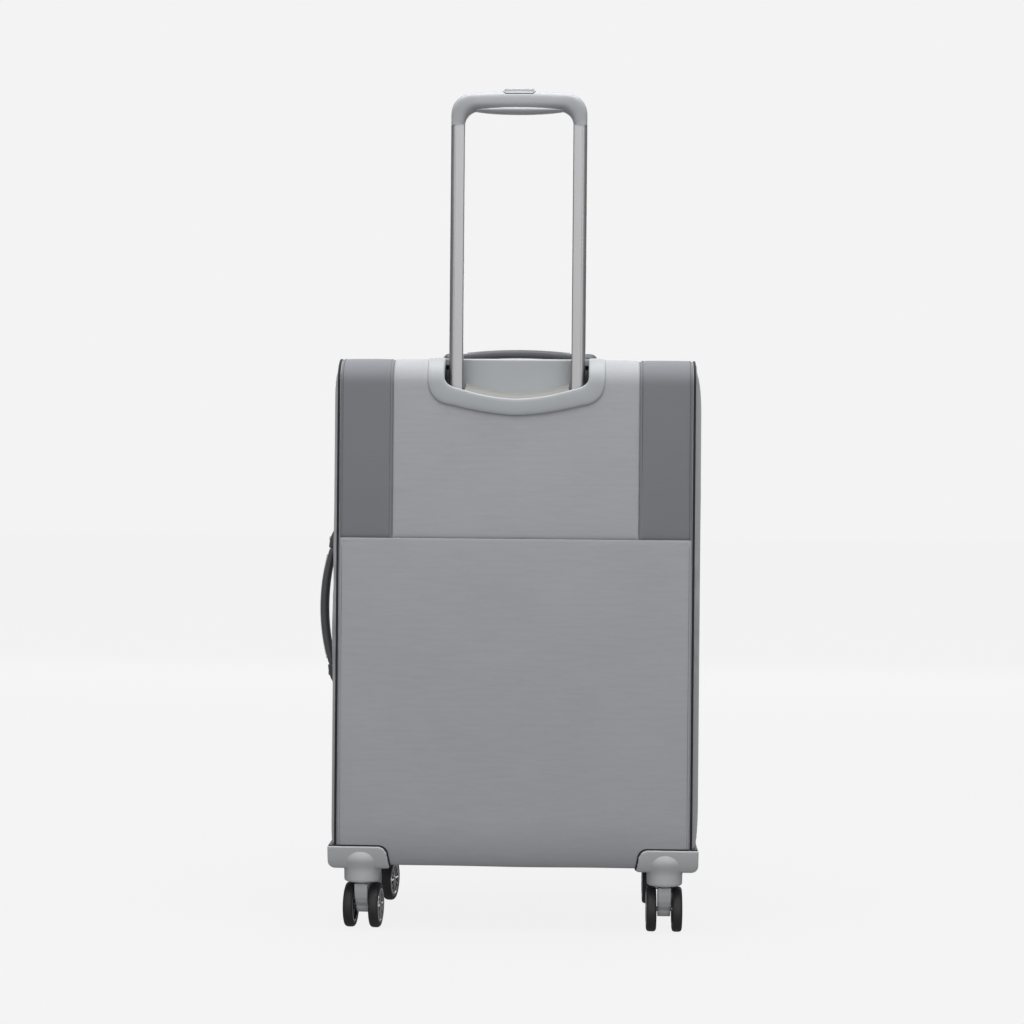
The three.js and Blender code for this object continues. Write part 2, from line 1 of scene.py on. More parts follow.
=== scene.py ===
# The looks of the softside upright suitcase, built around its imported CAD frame.
# Metres, +Z up. -Y is the back with the telescopic handle, +Y is the front with the lid.
import json
import math

import bmesh
import bpy
import numpy as np
from mathutils import Matrix, Vector, noise
from mathutils.bvhtree import BVHTree
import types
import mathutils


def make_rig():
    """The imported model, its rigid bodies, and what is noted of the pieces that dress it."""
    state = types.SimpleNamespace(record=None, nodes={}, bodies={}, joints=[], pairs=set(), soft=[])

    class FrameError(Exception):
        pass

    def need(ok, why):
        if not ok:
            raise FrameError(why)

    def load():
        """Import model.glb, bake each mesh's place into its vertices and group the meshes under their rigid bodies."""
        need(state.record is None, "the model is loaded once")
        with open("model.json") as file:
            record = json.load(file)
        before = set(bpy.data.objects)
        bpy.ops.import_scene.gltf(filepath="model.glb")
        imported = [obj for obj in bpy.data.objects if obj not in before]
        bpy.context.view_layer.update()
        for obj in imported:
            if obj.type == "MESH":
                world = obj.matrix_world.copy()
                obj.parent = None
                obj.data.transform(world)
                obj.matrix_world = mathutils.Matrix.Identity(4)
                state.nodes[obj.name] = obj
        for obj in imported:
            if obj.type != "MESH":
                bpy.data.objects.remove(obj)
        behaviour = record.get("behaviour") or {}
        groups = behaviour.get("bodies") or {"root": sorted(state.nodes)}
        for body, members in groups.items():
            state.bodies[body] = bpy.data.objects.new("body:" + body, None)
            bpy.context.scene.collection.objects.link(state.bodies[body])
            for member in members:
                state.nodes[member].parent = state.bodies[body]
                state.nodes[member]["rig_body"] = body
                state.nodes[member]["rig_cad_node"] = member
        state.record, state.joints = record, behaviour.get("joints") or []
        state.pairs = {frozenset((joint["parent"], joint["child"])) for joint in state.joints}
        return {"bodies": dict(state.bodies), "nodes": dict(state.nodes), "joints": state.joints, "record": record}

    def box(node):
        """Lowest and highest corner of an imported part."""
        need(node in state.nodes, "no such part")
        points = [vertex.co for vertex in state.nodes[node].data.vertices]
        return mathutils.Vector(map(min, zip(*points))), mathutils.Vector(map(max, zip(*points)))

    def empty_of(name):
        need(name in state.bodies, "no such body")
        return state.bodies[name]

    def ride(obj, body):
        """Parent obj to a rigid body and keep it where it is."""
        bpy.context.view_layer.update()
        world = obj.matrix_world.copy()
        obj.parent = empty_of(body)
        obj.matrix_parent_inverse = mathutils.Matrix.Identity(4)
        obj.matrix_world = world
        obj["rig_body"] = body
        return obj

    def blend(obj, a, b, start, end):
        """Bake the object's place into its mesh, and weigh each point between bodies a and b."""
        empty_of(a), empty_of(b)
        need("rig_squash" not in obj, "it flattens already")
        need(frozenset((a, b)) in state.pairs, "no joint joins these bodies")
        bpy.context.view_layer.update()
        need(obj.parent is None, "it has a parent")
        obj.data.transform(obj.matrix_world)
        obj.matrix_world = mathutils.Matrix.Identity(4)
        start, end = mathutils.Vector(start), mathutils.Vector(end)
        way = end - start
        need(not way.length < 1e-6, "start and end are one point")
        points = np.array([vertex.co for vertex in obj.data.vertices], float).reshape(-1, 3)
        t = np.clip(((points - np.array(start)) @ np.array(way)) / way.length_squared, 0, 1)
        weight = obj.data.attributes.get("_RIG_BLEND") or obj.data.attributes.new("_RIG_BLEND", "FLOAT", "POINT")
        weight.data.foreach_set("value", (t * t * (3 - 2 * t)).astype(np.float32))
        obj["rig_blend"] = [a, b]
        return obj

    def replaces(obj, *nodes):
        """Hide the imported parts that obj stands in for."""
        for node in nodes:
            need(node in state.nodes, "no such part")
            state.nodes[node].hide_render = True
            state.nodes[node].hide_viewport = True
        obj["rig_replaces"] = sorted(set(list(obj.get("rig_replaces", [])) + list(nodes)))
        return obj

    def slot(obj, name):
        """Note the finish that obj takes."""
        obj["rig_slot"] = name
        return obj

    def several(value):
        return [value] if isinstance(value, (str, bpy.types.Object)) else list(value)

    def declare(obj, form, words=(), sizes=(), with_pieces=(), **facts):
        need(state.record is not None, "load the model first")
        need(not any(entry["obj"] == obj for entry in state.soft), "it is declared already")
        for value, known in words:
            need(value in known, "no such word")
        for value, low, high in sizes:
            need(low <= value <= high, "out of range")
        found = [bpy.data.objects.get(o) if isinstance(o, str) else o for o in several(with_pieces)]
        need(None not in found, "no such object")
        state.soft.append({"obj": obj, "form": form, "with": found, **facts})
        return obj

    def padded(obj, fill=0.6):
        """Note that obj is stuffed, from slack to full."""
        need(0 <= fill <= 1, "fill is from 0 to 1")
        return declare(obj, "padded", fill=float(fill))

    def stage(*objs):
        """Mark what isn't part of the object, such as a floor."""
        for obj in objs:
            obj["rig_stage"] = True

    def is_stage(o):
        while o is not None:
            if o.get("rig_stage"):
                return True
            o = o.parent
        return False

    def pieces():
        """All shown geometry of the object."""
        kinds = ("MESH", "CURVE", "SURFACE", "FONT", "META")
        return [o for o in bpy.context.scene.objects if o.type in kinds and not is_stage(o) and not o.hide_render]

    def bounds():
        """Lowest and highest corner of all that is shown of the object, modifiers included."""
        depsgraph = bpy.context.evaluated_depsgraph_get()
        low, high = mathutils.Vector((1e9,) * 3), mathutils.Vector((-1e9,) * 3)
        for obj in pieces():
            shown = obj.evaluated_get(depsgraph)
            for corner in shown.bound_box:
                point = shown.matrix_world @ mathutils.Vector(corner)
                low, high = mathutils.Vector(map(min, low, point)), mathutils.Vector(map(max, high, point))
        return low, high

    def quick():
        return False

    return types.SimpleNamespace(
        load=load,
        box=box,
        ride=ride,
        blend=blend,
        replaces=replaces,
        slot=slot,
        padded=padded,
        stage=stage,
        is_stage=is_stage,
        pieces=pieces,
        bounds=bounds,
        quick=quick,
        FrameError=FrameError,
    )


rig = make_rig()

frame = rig.load()
cad_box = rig.bounds()

# ---- Studio -------------------------------------------------------------------------------------
# A wide pale floor that runs into a pale surround, with one big softbox overhead, one behind the
# camera and one facing it. The camera stands behind the suitcase at half its height, a little right.
scene = bpy.context.scene
scene.view_settings.view_transform = "Standard"
case_x = sum(corner.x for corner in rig.box("frame_shell")) / 2


class Wire:
    """One value in a shader. Arithmetic on it adds the Math nodes that work it out."""

    def __init__(self, graph, socket):
        self.graph = graph
        self.socket = socket

    def maths(self, operation, *terms):
        return self.graph.node("ShaderNodeMath", {"operation": operation}, dict(enumerate(terms)))

    def __add__(self, other):
        return self.maths("ADD", self, other)

    def __sub__(self, other):
        return self.maths("SUBTRACT", self, other)

    def __rsub__(self, other):
        return self.maths("SUBTRACT", other, self)

    def __mul__(self, other):
        return self.maths("MULTIPLY", self, other)

    def __truediv__(self, other):
        return self.maths("DIVIDE", self, other)

    def __pow__(self, other):
        return self.maths("POWER", self, other)

    __radd__ = __add__
    __rmul__ = __mul__


class Graph:
    """A node tree. node() adds any node: its type, its settings, then the values or wires it takes."""

    def __init__(self, tree):
        self.tree = tree

    def node(self, kind, settings=None, sockets=None, output=0):
        made = self.tree.nodes.new(kind)
        for setting, value in (settings or {}).items():
            setattr(made, setting, value)
        for socket, value in (sockets or {}).items():
            if isinstance(value, Wire):
                self.tree.links.new(value.socket, made.inputs[socket])
            else:
                made.inputs[socket].default_value = value
        return Wire(self, made.outputs[output])

    def colour(self, share, first, second):
        """One colour turning into another."""
        return self.node("ShaderNodeMix", {"data_type": "RGBA"}, {0: share, 6: first, 7: second}, 2)

    def scaled(self, place, scales):
        return self.node("ShaderNodeVectorMath", {"operation": "MULTIPLY"}, {0: place, 1: scales})

    def cloudy(self, place, scales, detail=2.0):
        """Noise from 0 to 1 whose lumps are 1 / scales metres in size."""
        sockets = {"Vector": self.scaled(place, scales), "Scale": 1.0, "Detail": detail}
        return self.node("ShaderNodeTexNoise", {}, sockets)


class Finish(Graph):
    """A material: constants set on its Principled shader, and wires fed to what varies."""

    def __init__(self, name, constants):
        self.material = bpy.data.materials.new(name)
        self.material.use_nodes = True
        super().__init__(self.material.node_tree)
        self.shader = self.tree.nodes["Principled BSDF"]
        for socket, value in constants.items():
            self.shader.inputs[socket].default_value = value

    def feed(self, socket, wire):
        self.tree.links.new(wire.socket, self.shader.inputs[socket])

    def relief(self, height, depth, strength=1.0):
        """Feeds a height from 0 to 1 to the normal, as bumps of that depth in metres."""
        bump = self.node("ShaderNodeBump", {}, {"Strength": strength, "Distance": depth, "Height": height})
        self.feed("Normal", bump)


def tint(red, green, blue):
    """A display colour, 0 to 255, as the linear colour that shaders take."""
    return tuple((level / 255) ** 2.2 for level in (red, green, blue)) + (1.0,)


def softbox(name, place, aim, width, height, watts):
    lamp = bpy.data.lights.new(name, "AREA")
    lamp.shape = "RECTANGLE"
    lamp.size = width
    lamp.size_y = height
    lamp.energy = watts
    made = bpy.data.objects.new(name, lamp)
    made.location = place
    made.rotation_euler = (Vector(aim) - Vector(place)).to_track_quat("-Z", "Y").to_euler()
    scene.collection.objects.link(made)


softbox("overhead_softbox", (case_x, -0.45, 2.5), (case_x, -0.05, 0.5), 2.4, 1.8, 76)
softbox("front_softbox", (case_x + 0.3, -4.4, 1.5), (case_x, 0, 0.45), 6.0, 3.6, 86)
softbox("rear_softbox", (case_x, 3.8, 1.9), (case_x, 0, 0.45), 4.5, 3.0, 92)

eye = Vector((case_x + 0.083, -2.638, 0.504))
aim = Vector((case_x - 0.004, -0.138, 0.504))
roll_of_camera = math.radians(0.5)
lens = bpy.data.cameras.new("camera")
lens.sensor_width = 36
lens.lens = 73.8
camera = bpy.data.objects.new("camera", lens)
camera.location = eye
level_view = (aim - eye).to_track_quat("-Z", "Y").to_matrix()
camera.rotation_euler = (level_view @ Matrix.Rotation(roll_of_camera, 3, "Z")).to_euler()
scene.collection.objects.link(camera)
scene.camera = camera

backdrop_tone = 0.897
surround_glow = 0.24
world = bpy.data.worlds.new("studio_surround")
world.use_nodes = True
scene.world = world
surround = Graph(world.node_tree)
seen_directly = surround.node("ShaderNodeLightPath", {}, {}, "Is Camera Ray")
glow = seen_directly * (backdrop_tone - surround_glow) + surround_glow
world.node_tree.nodes["Background"].inputs["Color"].default_value = (1, 1, 1, 1)
world.node_tree.links.new(glow.socket, world.node_tree.nodes["Background"].inputs["Strength"])

floor_mesh = bpy.data.meshes.new("studio_floor")
floor_half = 40
floor_corners = [(x * floor_half, y * floor_half, 0) for x, y in ((-1, -1), (1, -1), (1, 1), (-1, 1))]
floor_mesh.from_pydata(floor_corners, [], [(0, 1, 2, 3)])
floor = bpy.data.objects.new("studio_floor", floor_mesh)
scene.collection.objects.link(floor)
paper_dark = (0.03, 0.03, 0.03, 1)
paper = Finish("studio_paper", {"Base Color": paper_dark, "Roughness": 1.0, "Specular IOR Level": 0.0})
paper.shader.inputs["Emission Strength"].default_value = 1.0
floor_place = paper.node("ShaderNodeTexCoord", {}, {}, "Object")
from_centre = paper.node("ShaderNodeVectorMath", {"operation": "LENGTH"}, {0: floor_place}, "Value")
fade_reach = 4.5
far_share = from_centre.maths("MINIMUM", from_centre / fade_reach, 1.0)
near_tone = (0.858, 0.858, 0.858, 1)
far_tone = (0.884, 0.884, 0.884, 1)
paper.feed("Emission Color", paper.colour(far_share, near_tone, far_tone))
floor_mesh.materials.append(paper.material)
floor.visible_diffuse = False
floor.visible_glossy = False
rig.stage(floor)

# ---- Back and top cloth -------------------------------------------------------------------------
# Four panels of ribbed polyester over thin foam, sewn edge to edge and drawn over the stiff frame:
# one below the cross seam, and above it a light centre between two smoother dark sides.
panel_low, panel_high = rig.box("back_panel_lower")
back_y = panel_low.y
tray_y = panel_high.y
bottom_z = panel_low.z - 0.003
seam_z = panel_high.z
top_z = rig.box("back_panel_centre")[1].z
roll = 0.030
quarter = roll * math.pi / 2
top_of_flat = top_z - roll
foot_deep = 0.011
foot_tall = 0.055
foot_quarter = 0.0576
bottom_of_flat = bottom_z + foot_tall
top_end = top_of_flat + quarter + tray_y - back_y - roll
bottom_end = bottom_of_flat - foot_quarter - tray_y + back_y + foot_deep
cloth_thickness = 0.0024


def on_case(x, s, lift=0.0):
    """A point of the tray's cloth. s runs up the back and over both rolls, lift stands out from it."""
    reach = roll + lift
    if s > top_of_flat:
        turn = (s - top_of_flat) / roll
        if turn > math.pi / 2:
            return Vector((x, back_y + roll + s - top_of_flat - quarter, top_z + lift))
        return Vector((x, back_y + roll - reach * math.cos(turn), top_of_flat + reach * math.sin(turn)))
    if s < bottom_of_flat:
        turn = (bottom_of_flat - s) / foot_quarter * math.pi / 2
        if turn > math.pi / 2:
            return Vector((x, back_y + foot_deep + bottom_of_flat - foot_quarter - s, bottom_z - lift))
        deep = (foot_deep + lift) * math.cos(turn)
        return Vector((x, back_y + foot_deep - deep, bottom_of_flat - (foot_tall + lift) * math.sin(turn)))
    return Vector((x, back_y - lift, s))


def case_weave(point):
    """Where a point lies on the cloth before it was bent: across, and up the back and over the rolls."""
    over_top = point.y - back_y - roll
    under_foot = point.y - back_y - foot_deep
    if point.z > top_of_flat:
        bend = over_top if over_top > 0 else roll * math.atan2(point.z - top_of_flat, -over_top) - quarter
        return point.x, top_of_flat + quarter + bend
    if point.z < bottom_of_flat:
        turn = math.atan2((bottom_of_flat - point.z) / foot_tall, -under_foot / foot_deep)
        bend = under_foot if under_foot > 0 else foot_quarter * turn / (math.pi / 2) - foot_quarter
        return point.x, bottom_of_flat - foot_quarter - bend
    return point.x, point.z


def piece(name, points, faces, finish, sharp_above=None):
    """One mesh object, smooth shaded, with its faces turned outwards."""
    mesh = bpy.data.meshes.new(name)
    mesh.from_pydata([tuple(point) for point in points], [], faces)
    shape = bmesh.new()
    shape.from_mesh(mesh)
    bmesh.ops.recalc_face_normals(shape, faces=shape.faces)
    shape.to_mesh(mesh)
    shape.free()
    mesh.polygons.foreach_set("use_smooth", [True] * len(mesh.polygons))
    if sharp_above is not None:
        mesh.set_sharp_from_angle(angle=math.radians(sharp_above))
    mesh.materials.append(finish.material)
    made = bpy.data.objects.new(name, mesh)
    scene.collection.objects.link(made)
    return made


def applied(made):
    """The object with its modifiers worked into its mesh."""
    settled = bpy.data.meshes.new_from_object(made.evaluated_get(bpy.context.evaluated_depsgraph_get()))
    made.modifiers.clear()
    made.data = settled
    return made


def lay_weave(made, places):
    """Stores where the threads lie at each point of a mesh, in metres, for the woven finishes."""
    weave = made.data.attributes.new("weave", "FLOAT_VECTOR", "POINT")
    weave.data.foreach_set("vector", [level for across, along in places for level in (across, along, 0)])


def slab(outer, inner):
    """A closed sheet between two grids of points, joined all round their edges."""
    rows = len(outer)
    columns = len(outer[0])
    points = [point for grid in (outer, inner) for row in grid for point in row]

    def at(side, row, column):
        return (side * rows + row) * columns + column

    faces = []
    for side in (0, 1):
        for row in range(rows - 1):
            for column in range(columns - 1):
                corners = ((row, column), (row, column + 1), (row + 1, column + 1), (row + 1, column))
                faces.append(tuple(at(side, *corner) for corner in (corners if side else corners[::-1])))
    edge = [(0, column) for column in range(columns)]
    edge += [(row, columns - 1) for row in range(1, rows)]
    edge += [(rows - 1, column) for column in range(columns - 2, -1, -1)]
    edge += [(row, 0) for row in range(rows - 2, 0, -1)]
    for here, there in zip(edge, edge[1:] + edge[:1]):
        faces.append((at(0, *here), at(0, *there), at(1, *there), at(1, *here)))
    return points, faces


hem_steps = (0, 0.0006, 0.0013, 0.0022, 0.0034, 0.0050, 0.0075)


def stations(low, high, pitch=0.005):
    """Places between two seams, closer together beside each seam."""
    middle = np.linspace(low + hem_steps[-1], high - hem_steps[-1], max(2, round((high - low) / pitch)))
    near_low = [low + step for step in hem_steps[:-1]]
    near_high = [high - step for step in hem_steps[-2::-1]]
    return near_low + list(middle) + near_high


def drawn_in(distance, puff=0.0006, tuck=0.0015):
    """How far padded cloth stands out from its pattern, by the distance to its nearest seam."""
    return puff * (1 - math.exp(-distance / 0.009)) - tuck * math.exp(-distance / 0.0011)


def case_panel(name, x_low, x_high, s_low, s_high, finish):
    def lift(x, s):
        ripple = 0.0007 * noise.noise(Vector((x * 9, s * 6, 3.1)))
        folded_edge = 0.0003 * math.exp(-(s_high - s) / 0.002) if s_high == seam_z else 0.0
        edges = [x - x_low, x_high - x, s - s_low] + ([s_high - s] if s_high != seam_z else [])
        return drawn_in(min(edges)) + ripple - folded_edge

    across = stations(x_low, x_high)
    up = stations(s_low, s_high)
    outer = [[on_case(x, s, lift(x, s)) for x in across] for s in up]
    inner = [[on_case(x, s, -cloth_thickness) for x in across] for s in up]
    return piece(name, *slab(outer, inner), finish)


def woven(name, light, dark, rib, relief, slub=0.5, roughness=0.92, sheen=0.15):
    """Woven cloth: thick weft ribs over fine warp, yarns of uneven thickness, and a soft mottling."""
    cloth = Finish(name, {"Sheen Weight": sheen, "Sheen Roughness": 0.5, "Specular IOR Level": 0.25})
    place = cloth.node("ShaderNodeAttribute", {"attribute_name": "weave"}, {}, "Vector")
    across = cloth.node("ShaderNodeSeparateXYZ", {}, {0: place}, 0)
    along = cloth.node("ShaderNodeSeparateXYZ", {}, {0: place}, 1)
    wander = cloth.cloudy(place, (45, 240, 1)) * 0.0006
    weft = ((along + wander) * (math.tau / rib)).maths("SINE") * 0.5 + 0.5
    warp = (across * (math.tau / (rib * 0.7))).maths("SINE") * 0.5 + 0.5
    slubs = cloth.cloudy(place, (26, 230, 1), 3.0)
    fine_slubs = cloth.cloudy(place, (90, 1100, 1), 1.0)
    patches = cloth.cloudy(place, (9, 14, 1), 3.0)
    flecks = cloth.cloudy(place, (1500, 1500, 1), 1.0)
    shade = (slubs - 0.5) * slub + (fine_slubs - 0.5) * (slub * 0.6) + (patches - 0.5) * 0.35
    shade = shade + (flecks - 0.5) * 0.4 + weft * 0.35 + weft * warp * 0.2 + 0.28
    cloth.feed("Base Color", cloth.colour(shade, dark, light))
    cloth.feed("Roughness", roughness + (flecks - 0.5) * 0.12)
    cloth.relief(weft * 0.6 + warp * weft * 0.3 + (slubs + fine_slubs) * 0.35, relief)
    return cloth


light_cloth = woven("light_ribbed_polyester", tint(168, 169, 173), tint(149, 150, 154), 0.0011, 0.00022)
dark_cloth = woven("dark_plain_polyester", tint(124, 125, 129), tint(110, 112, 116), 0.0008, 0.00012, 0.25)

recess_half = sum(corner.x * side for corner, side in zip(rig.box("trolley_pocket"), (-1, 1))) / 2 - 0.002
recess_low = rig.box("trolley_bezel")[0].z + 0.017
recess_shoulder = recess_low + 0.026


def quadratic(start, pull, end, count):
    """Points after the start of a curve through three control points, up to its end."""
    shares = [step / count for step in range(1, count + 1)]
    return [start * (1 - t) ** 2 + pull * (2 * t * (1 - t)) + end * t**2 for t in shares]


def recess_side(grow, count=14):
    """The right half of the recess's lower edge, from the middle to its shoulder, as x and height."""
    low = recess_low - grow
    knee = recess_half - 0.018 + grow / 2
    middle = Vector((0, low))
    bend = Vector((knee, low + 0.012))
    shallow = quadratic(middle, Vector((recess_half * 0.4, low + 0.001)), bend, count)
    side_x = recess_half + grow
    steep = quadratic(bend, Vector((side_x, low + 0.015)), Vector((side_x, recess_shoulder)), count)
    return [middle] + shallow + steep


def loft(rings, looped=False):
    """Quads through a row of rings. The first and the last ring are filled, unless the row loops."""
    width = len(rings[0])
    points = [point for ring in rings for point in ring]
    faces = []
    for index in range(len(rings) if looped else len(rings) - 1):
        near = index * width
        far = (index + 1) % len(rings) * width
        for here in range(width):
            there = (here + 1) % width
            faces.append((near + here, near + there, far + there, far + here))
    if not looped:
        faces.append(tuple(range(width)))
        faces.append(tuple(range(len(points) - 1, len(points) - width - 1, -1)))
    return points, faces


def prism(name, outline, low, high, lay, finish):
    """A solid with one outline all along its length. lay turns an outline point and a length into a place."""
    rings = [[Vector(lay(across, up, length)) for across, up in outline] for length in (low, high)]
    return piece(name, *loft(rings), finish)


def through_depth(x, z, y):
    return x, y, z


def across_width(y, z, x):
    return x, y, z


def up_height(x, y, z):
    return x, y, z


def cut(made, tool, operation="DIFFERENCE"):
    """Cuts a mesh by another, or joins or intersects them, and removes the other."""
    step = made.modifiers.new("cut", "BOOLEAN")
    step.operation = operation
    step.solver = "MANIFOLD"
    step.object = tool
    applied(made)
    bpy.data.objects.remove(tool)
    return made


back_panels = [
    ("back_cloth_lower", "back_panel_lower", bottom_end, seam_z, light_cloth, "light_fabric"),
    ("back_cloth_centre", "back_panel_centre", seam_z, top_end, light_cloth, "light_fabric"),
    ("back_cloth_dark_left", "back_panel_dark_left", seam_z, top_end, dark_cloth, "dark_fabric"),
    ("back_cloth_dark_right", "back_panel_dark_right", seam_z, top_end, dark_cloth, "dark_fabric"),
]
for name, node, s_low, s_high, cloth, slot in back_panels:
    low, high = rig.box(node)
    panel = case_panel(name, low.x, high.x, s_low, s_high, cloth)
    if node == "back_panel_centre":
        right = [(case_x + x, z) for x, z in recess_side(0.009)]
        left = [(2 * case_x - x, z) for x, z in right[:0:-1]]
        opening = left + right + [(right[-1][0], 0.8), (left[0][0], 0.8)]
        cut(panel, prism("recess_cut", opening, back_y - 0.02, -0.088, through_depth, cloth))
    lay_weave(panel, [case_weave(vertex.co) for vertex in panel.data.vertices])
    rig.ride(panel, "case")
    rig.replaces(panel, node)
    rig.slot(panel, slot)

# ---- Piping and back stitching ------------------------------------------------------------------
# A cord wrapped in dark twill tape, caught in the seam between the back cloth and each padded
# side. Lockstitch in matching thread runs beside it, and below the folded edge of the cross seam.
piping_cloth = woven("dark_piping_tape", tint(48, 49, 52), tint(34, 35, 38), 0.0009, 0.0002, slub=0.3)


def circle(radius, sides, start=0.0):
    turns = [start + math.tau * step / sides for step in range(sides)]
    return [(radius * math.cos(turn), radius * math.sin(turn)) for turn in turns]


def swept(path, section, up, looped=False):
    """Rings of a section carried along a path. up is the section's second direction, or gives it."""
    rings = []
    last = len(path) - 1
    for index, place in enumerate(path):
        before = path[index - 1] if index or looped else place
        after = path[(index + 1) % len(path)] if index < last or looped else place
        along = (after - before).normalized()
        rise = up(index) if callable(up) else Vector(up)
        side = along.cross(rise).normalized()
        rise = side.cross(along)
        shape = section(index) if callable(section) else section
        rings.append([place + side * a + rise * b for a, b in shape])
    return rings


def threads(rings):
    """Where the threads lie on a swept piece: half-way round each ring and back, and along its length."""
    places = []
    along = 0.0
    middle = None
    for ring in rings:
        centre = sum(ring, Vector()) / len(ring)
        along += (centre - middle).length if middle is not None else 0.0
        middle = centre
        steps = [0.0] + [(there - here).length for here, there in zip(ring, ring[1:])]
        arcs = np.cumsum(steps)
        whole = arcs[-1] + (ring[0] - ring[-1]).length
        places += [(min(arc, whole - arc), along) for arc in arcs]
    return places


def wound(name, rings, finish, looped=False, sharp_above=None):
    """A swept piece in a woven finish."""
    made = piece(name, *loft(rings, looped), finish, sharp_above)
    lay_weave(made, threads(rings))
    return made


def at_each(points, pitch):
    """Evenly spaced places along a row of points, each with the direction of the row there."""
    lengths = np.cumsum([0.0] + [(there - here).length for here, there in zip(points, points[1:])])
    halves = np.arange(int(lengths[-1] / pitch)) * pitch + pitch / 2

    def at(distances):
        axes = [np.interp(distances, lengths, [point[axis] for point in points]) for axis in range(3)]
        return [Vector(place) for place in zip(*axes)]

    return [(place, (end - place).normalized()) for place, end in zip(at(halves), at(halves + pitch / 2))]


def together(*shapes):
    """Several sets of points and faces as one."""
    points, faces = [], []
    for here_points, here_faces in shapes:
        faces += [tuple(len(points) + index for index in face) for face in here_faces]
        points += here_points
    return points, faces


def stitching(name, points, out, finish, pitch=0.0030, thread=0.00042, slant=0.0):
    """A row of stitches: short fat thread ends lying along the points. out is away from the cloth."""
    rings_of = ((-1.0, 0.3), (-0.75, 0.85), (0.0, 1.0), (0.75, 0.85), (1.0, 0.3))
    stitches = []
    for place, along in at_each(points, pitch):
        rise = Vector(out(place) if callable(out) else out).normalized()
        side = along.cross(rise).normalized()
        lie = (along + side * slant).normalized()
        across = lie.cross(rise)
        rings = []
        for share, fat in rings_of:
            middle = place + lie * share * pitch * 0.38 - rise * abs(share) * thread
            rings.append([middle + across * a * fat + rise * b * fat for a, b in circle(thread, 6)])
        stitches.append(loft(rings))
    return piece(name, *together(*stitches), finish)


def twisted_thread(name, colour):
    """Spun polyester sewing thread, with the fine slanting lines of its twist."""
    thread = Finish(name, {"Sheen Weight": 0.2, "Specular IOR Level": 0.3})
    place = thread.node("ShaderNodeTexCoord", {}, {}, "Object")
    twist = thread.cloudy(place, (4000, 4000, 4000), 1.0)
    deep = tuple(level * 0.72 for level in colour[:3]) + (1.0,)
    thread.feed("Base Color", thread.colour(twist, deep, colour))
    thread.feed("Roughness", twist * 0.2 + 0.7)
    thread.relief(twist, 0.00008)
    return thread


grey_thread = twisted_thread("grey_thread", tint(120, 121, 125))
dark_thread = twisted_thread("dark_thread", tint(70, 71, 74))
cord_radius = 0.0015
edge_run = [on_case(0.0, s, -0.0011) for s in np.arange(bottom_end, top_end, 0.004)]
sides = (("left", -1), ("right", 1))


def case_outward(place):
    """Straight out of the tray's cloth at a place on it."""
    _, s = case_weave(place)
    return on_case(0.0, s, 0.001) - on_case(0.0, s, 0.0)


for side, sign in sides:
    welt_x = sum(corner.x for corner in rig.box("piping_" + side)) / 2
    cord_path = [Vector((welt_x, place.y, place.z)) for place in edge_run]
    cord = wound("piping_cord_" + side, swept(cord_path, circle(cord_radius, 12), (1, 0, 0)), piping_cloth)
    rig.ride(cord, "case")
    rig.replaces(cord, "piping_" + side)
    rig.slot(cord, "dark_fabric")
    row_x = welt_x - sign * 0.0052
    for part, s_low, s_high, thread in (
        ("lower", bottom_end, seam_z - 0.002, grey_thread),
        ("upper", seam_z + 0.002, top_end, dark_thread),
    ):
        row = [on_case(row_x, s, 0.0002) for s in np.arange(s_low, s_high, 0.004)]
        made = stitching("edge_stitching_" + part + "_" + side, row, case_outward, thread)
        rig.ride(made, "case")

seam_left, seam_right = (corner.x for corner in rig.box("back_panel_lower"))
seam_places = np.linspace(seam_left + 0.004, seam_right - 0.004, 120)
seam_row = [on_case(x, seam_z - 0.0040, 0.0003) for x in seam_places]
made = stitching("cross_seam_stitching", seam_row, (0, -1, 0), grey_thread, slant=-0.35)
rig.ride(made, "case")
for side, sign in sides:
    dark_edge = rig.box("back_panel_dark_" + side)[0 if sign > 0 else 1].x
    row = [on_case(dark_edge + sign * 0.0034, s, 0.0002) for s in np.arange(seam_z + 0.003, top_end, 0.004)]
    made = stitching("panel_stitching_" + side, row, case_outward, dark_thread)
    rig.ride(made, "case")

# ---- Padded sides -------------------------------------------------------------------------------
# Each side is a panel of the light cloth over soft foam, sewn in between the piping and the zip.
# It stands out fullest half-way to the front and puckers a little along its stitching.


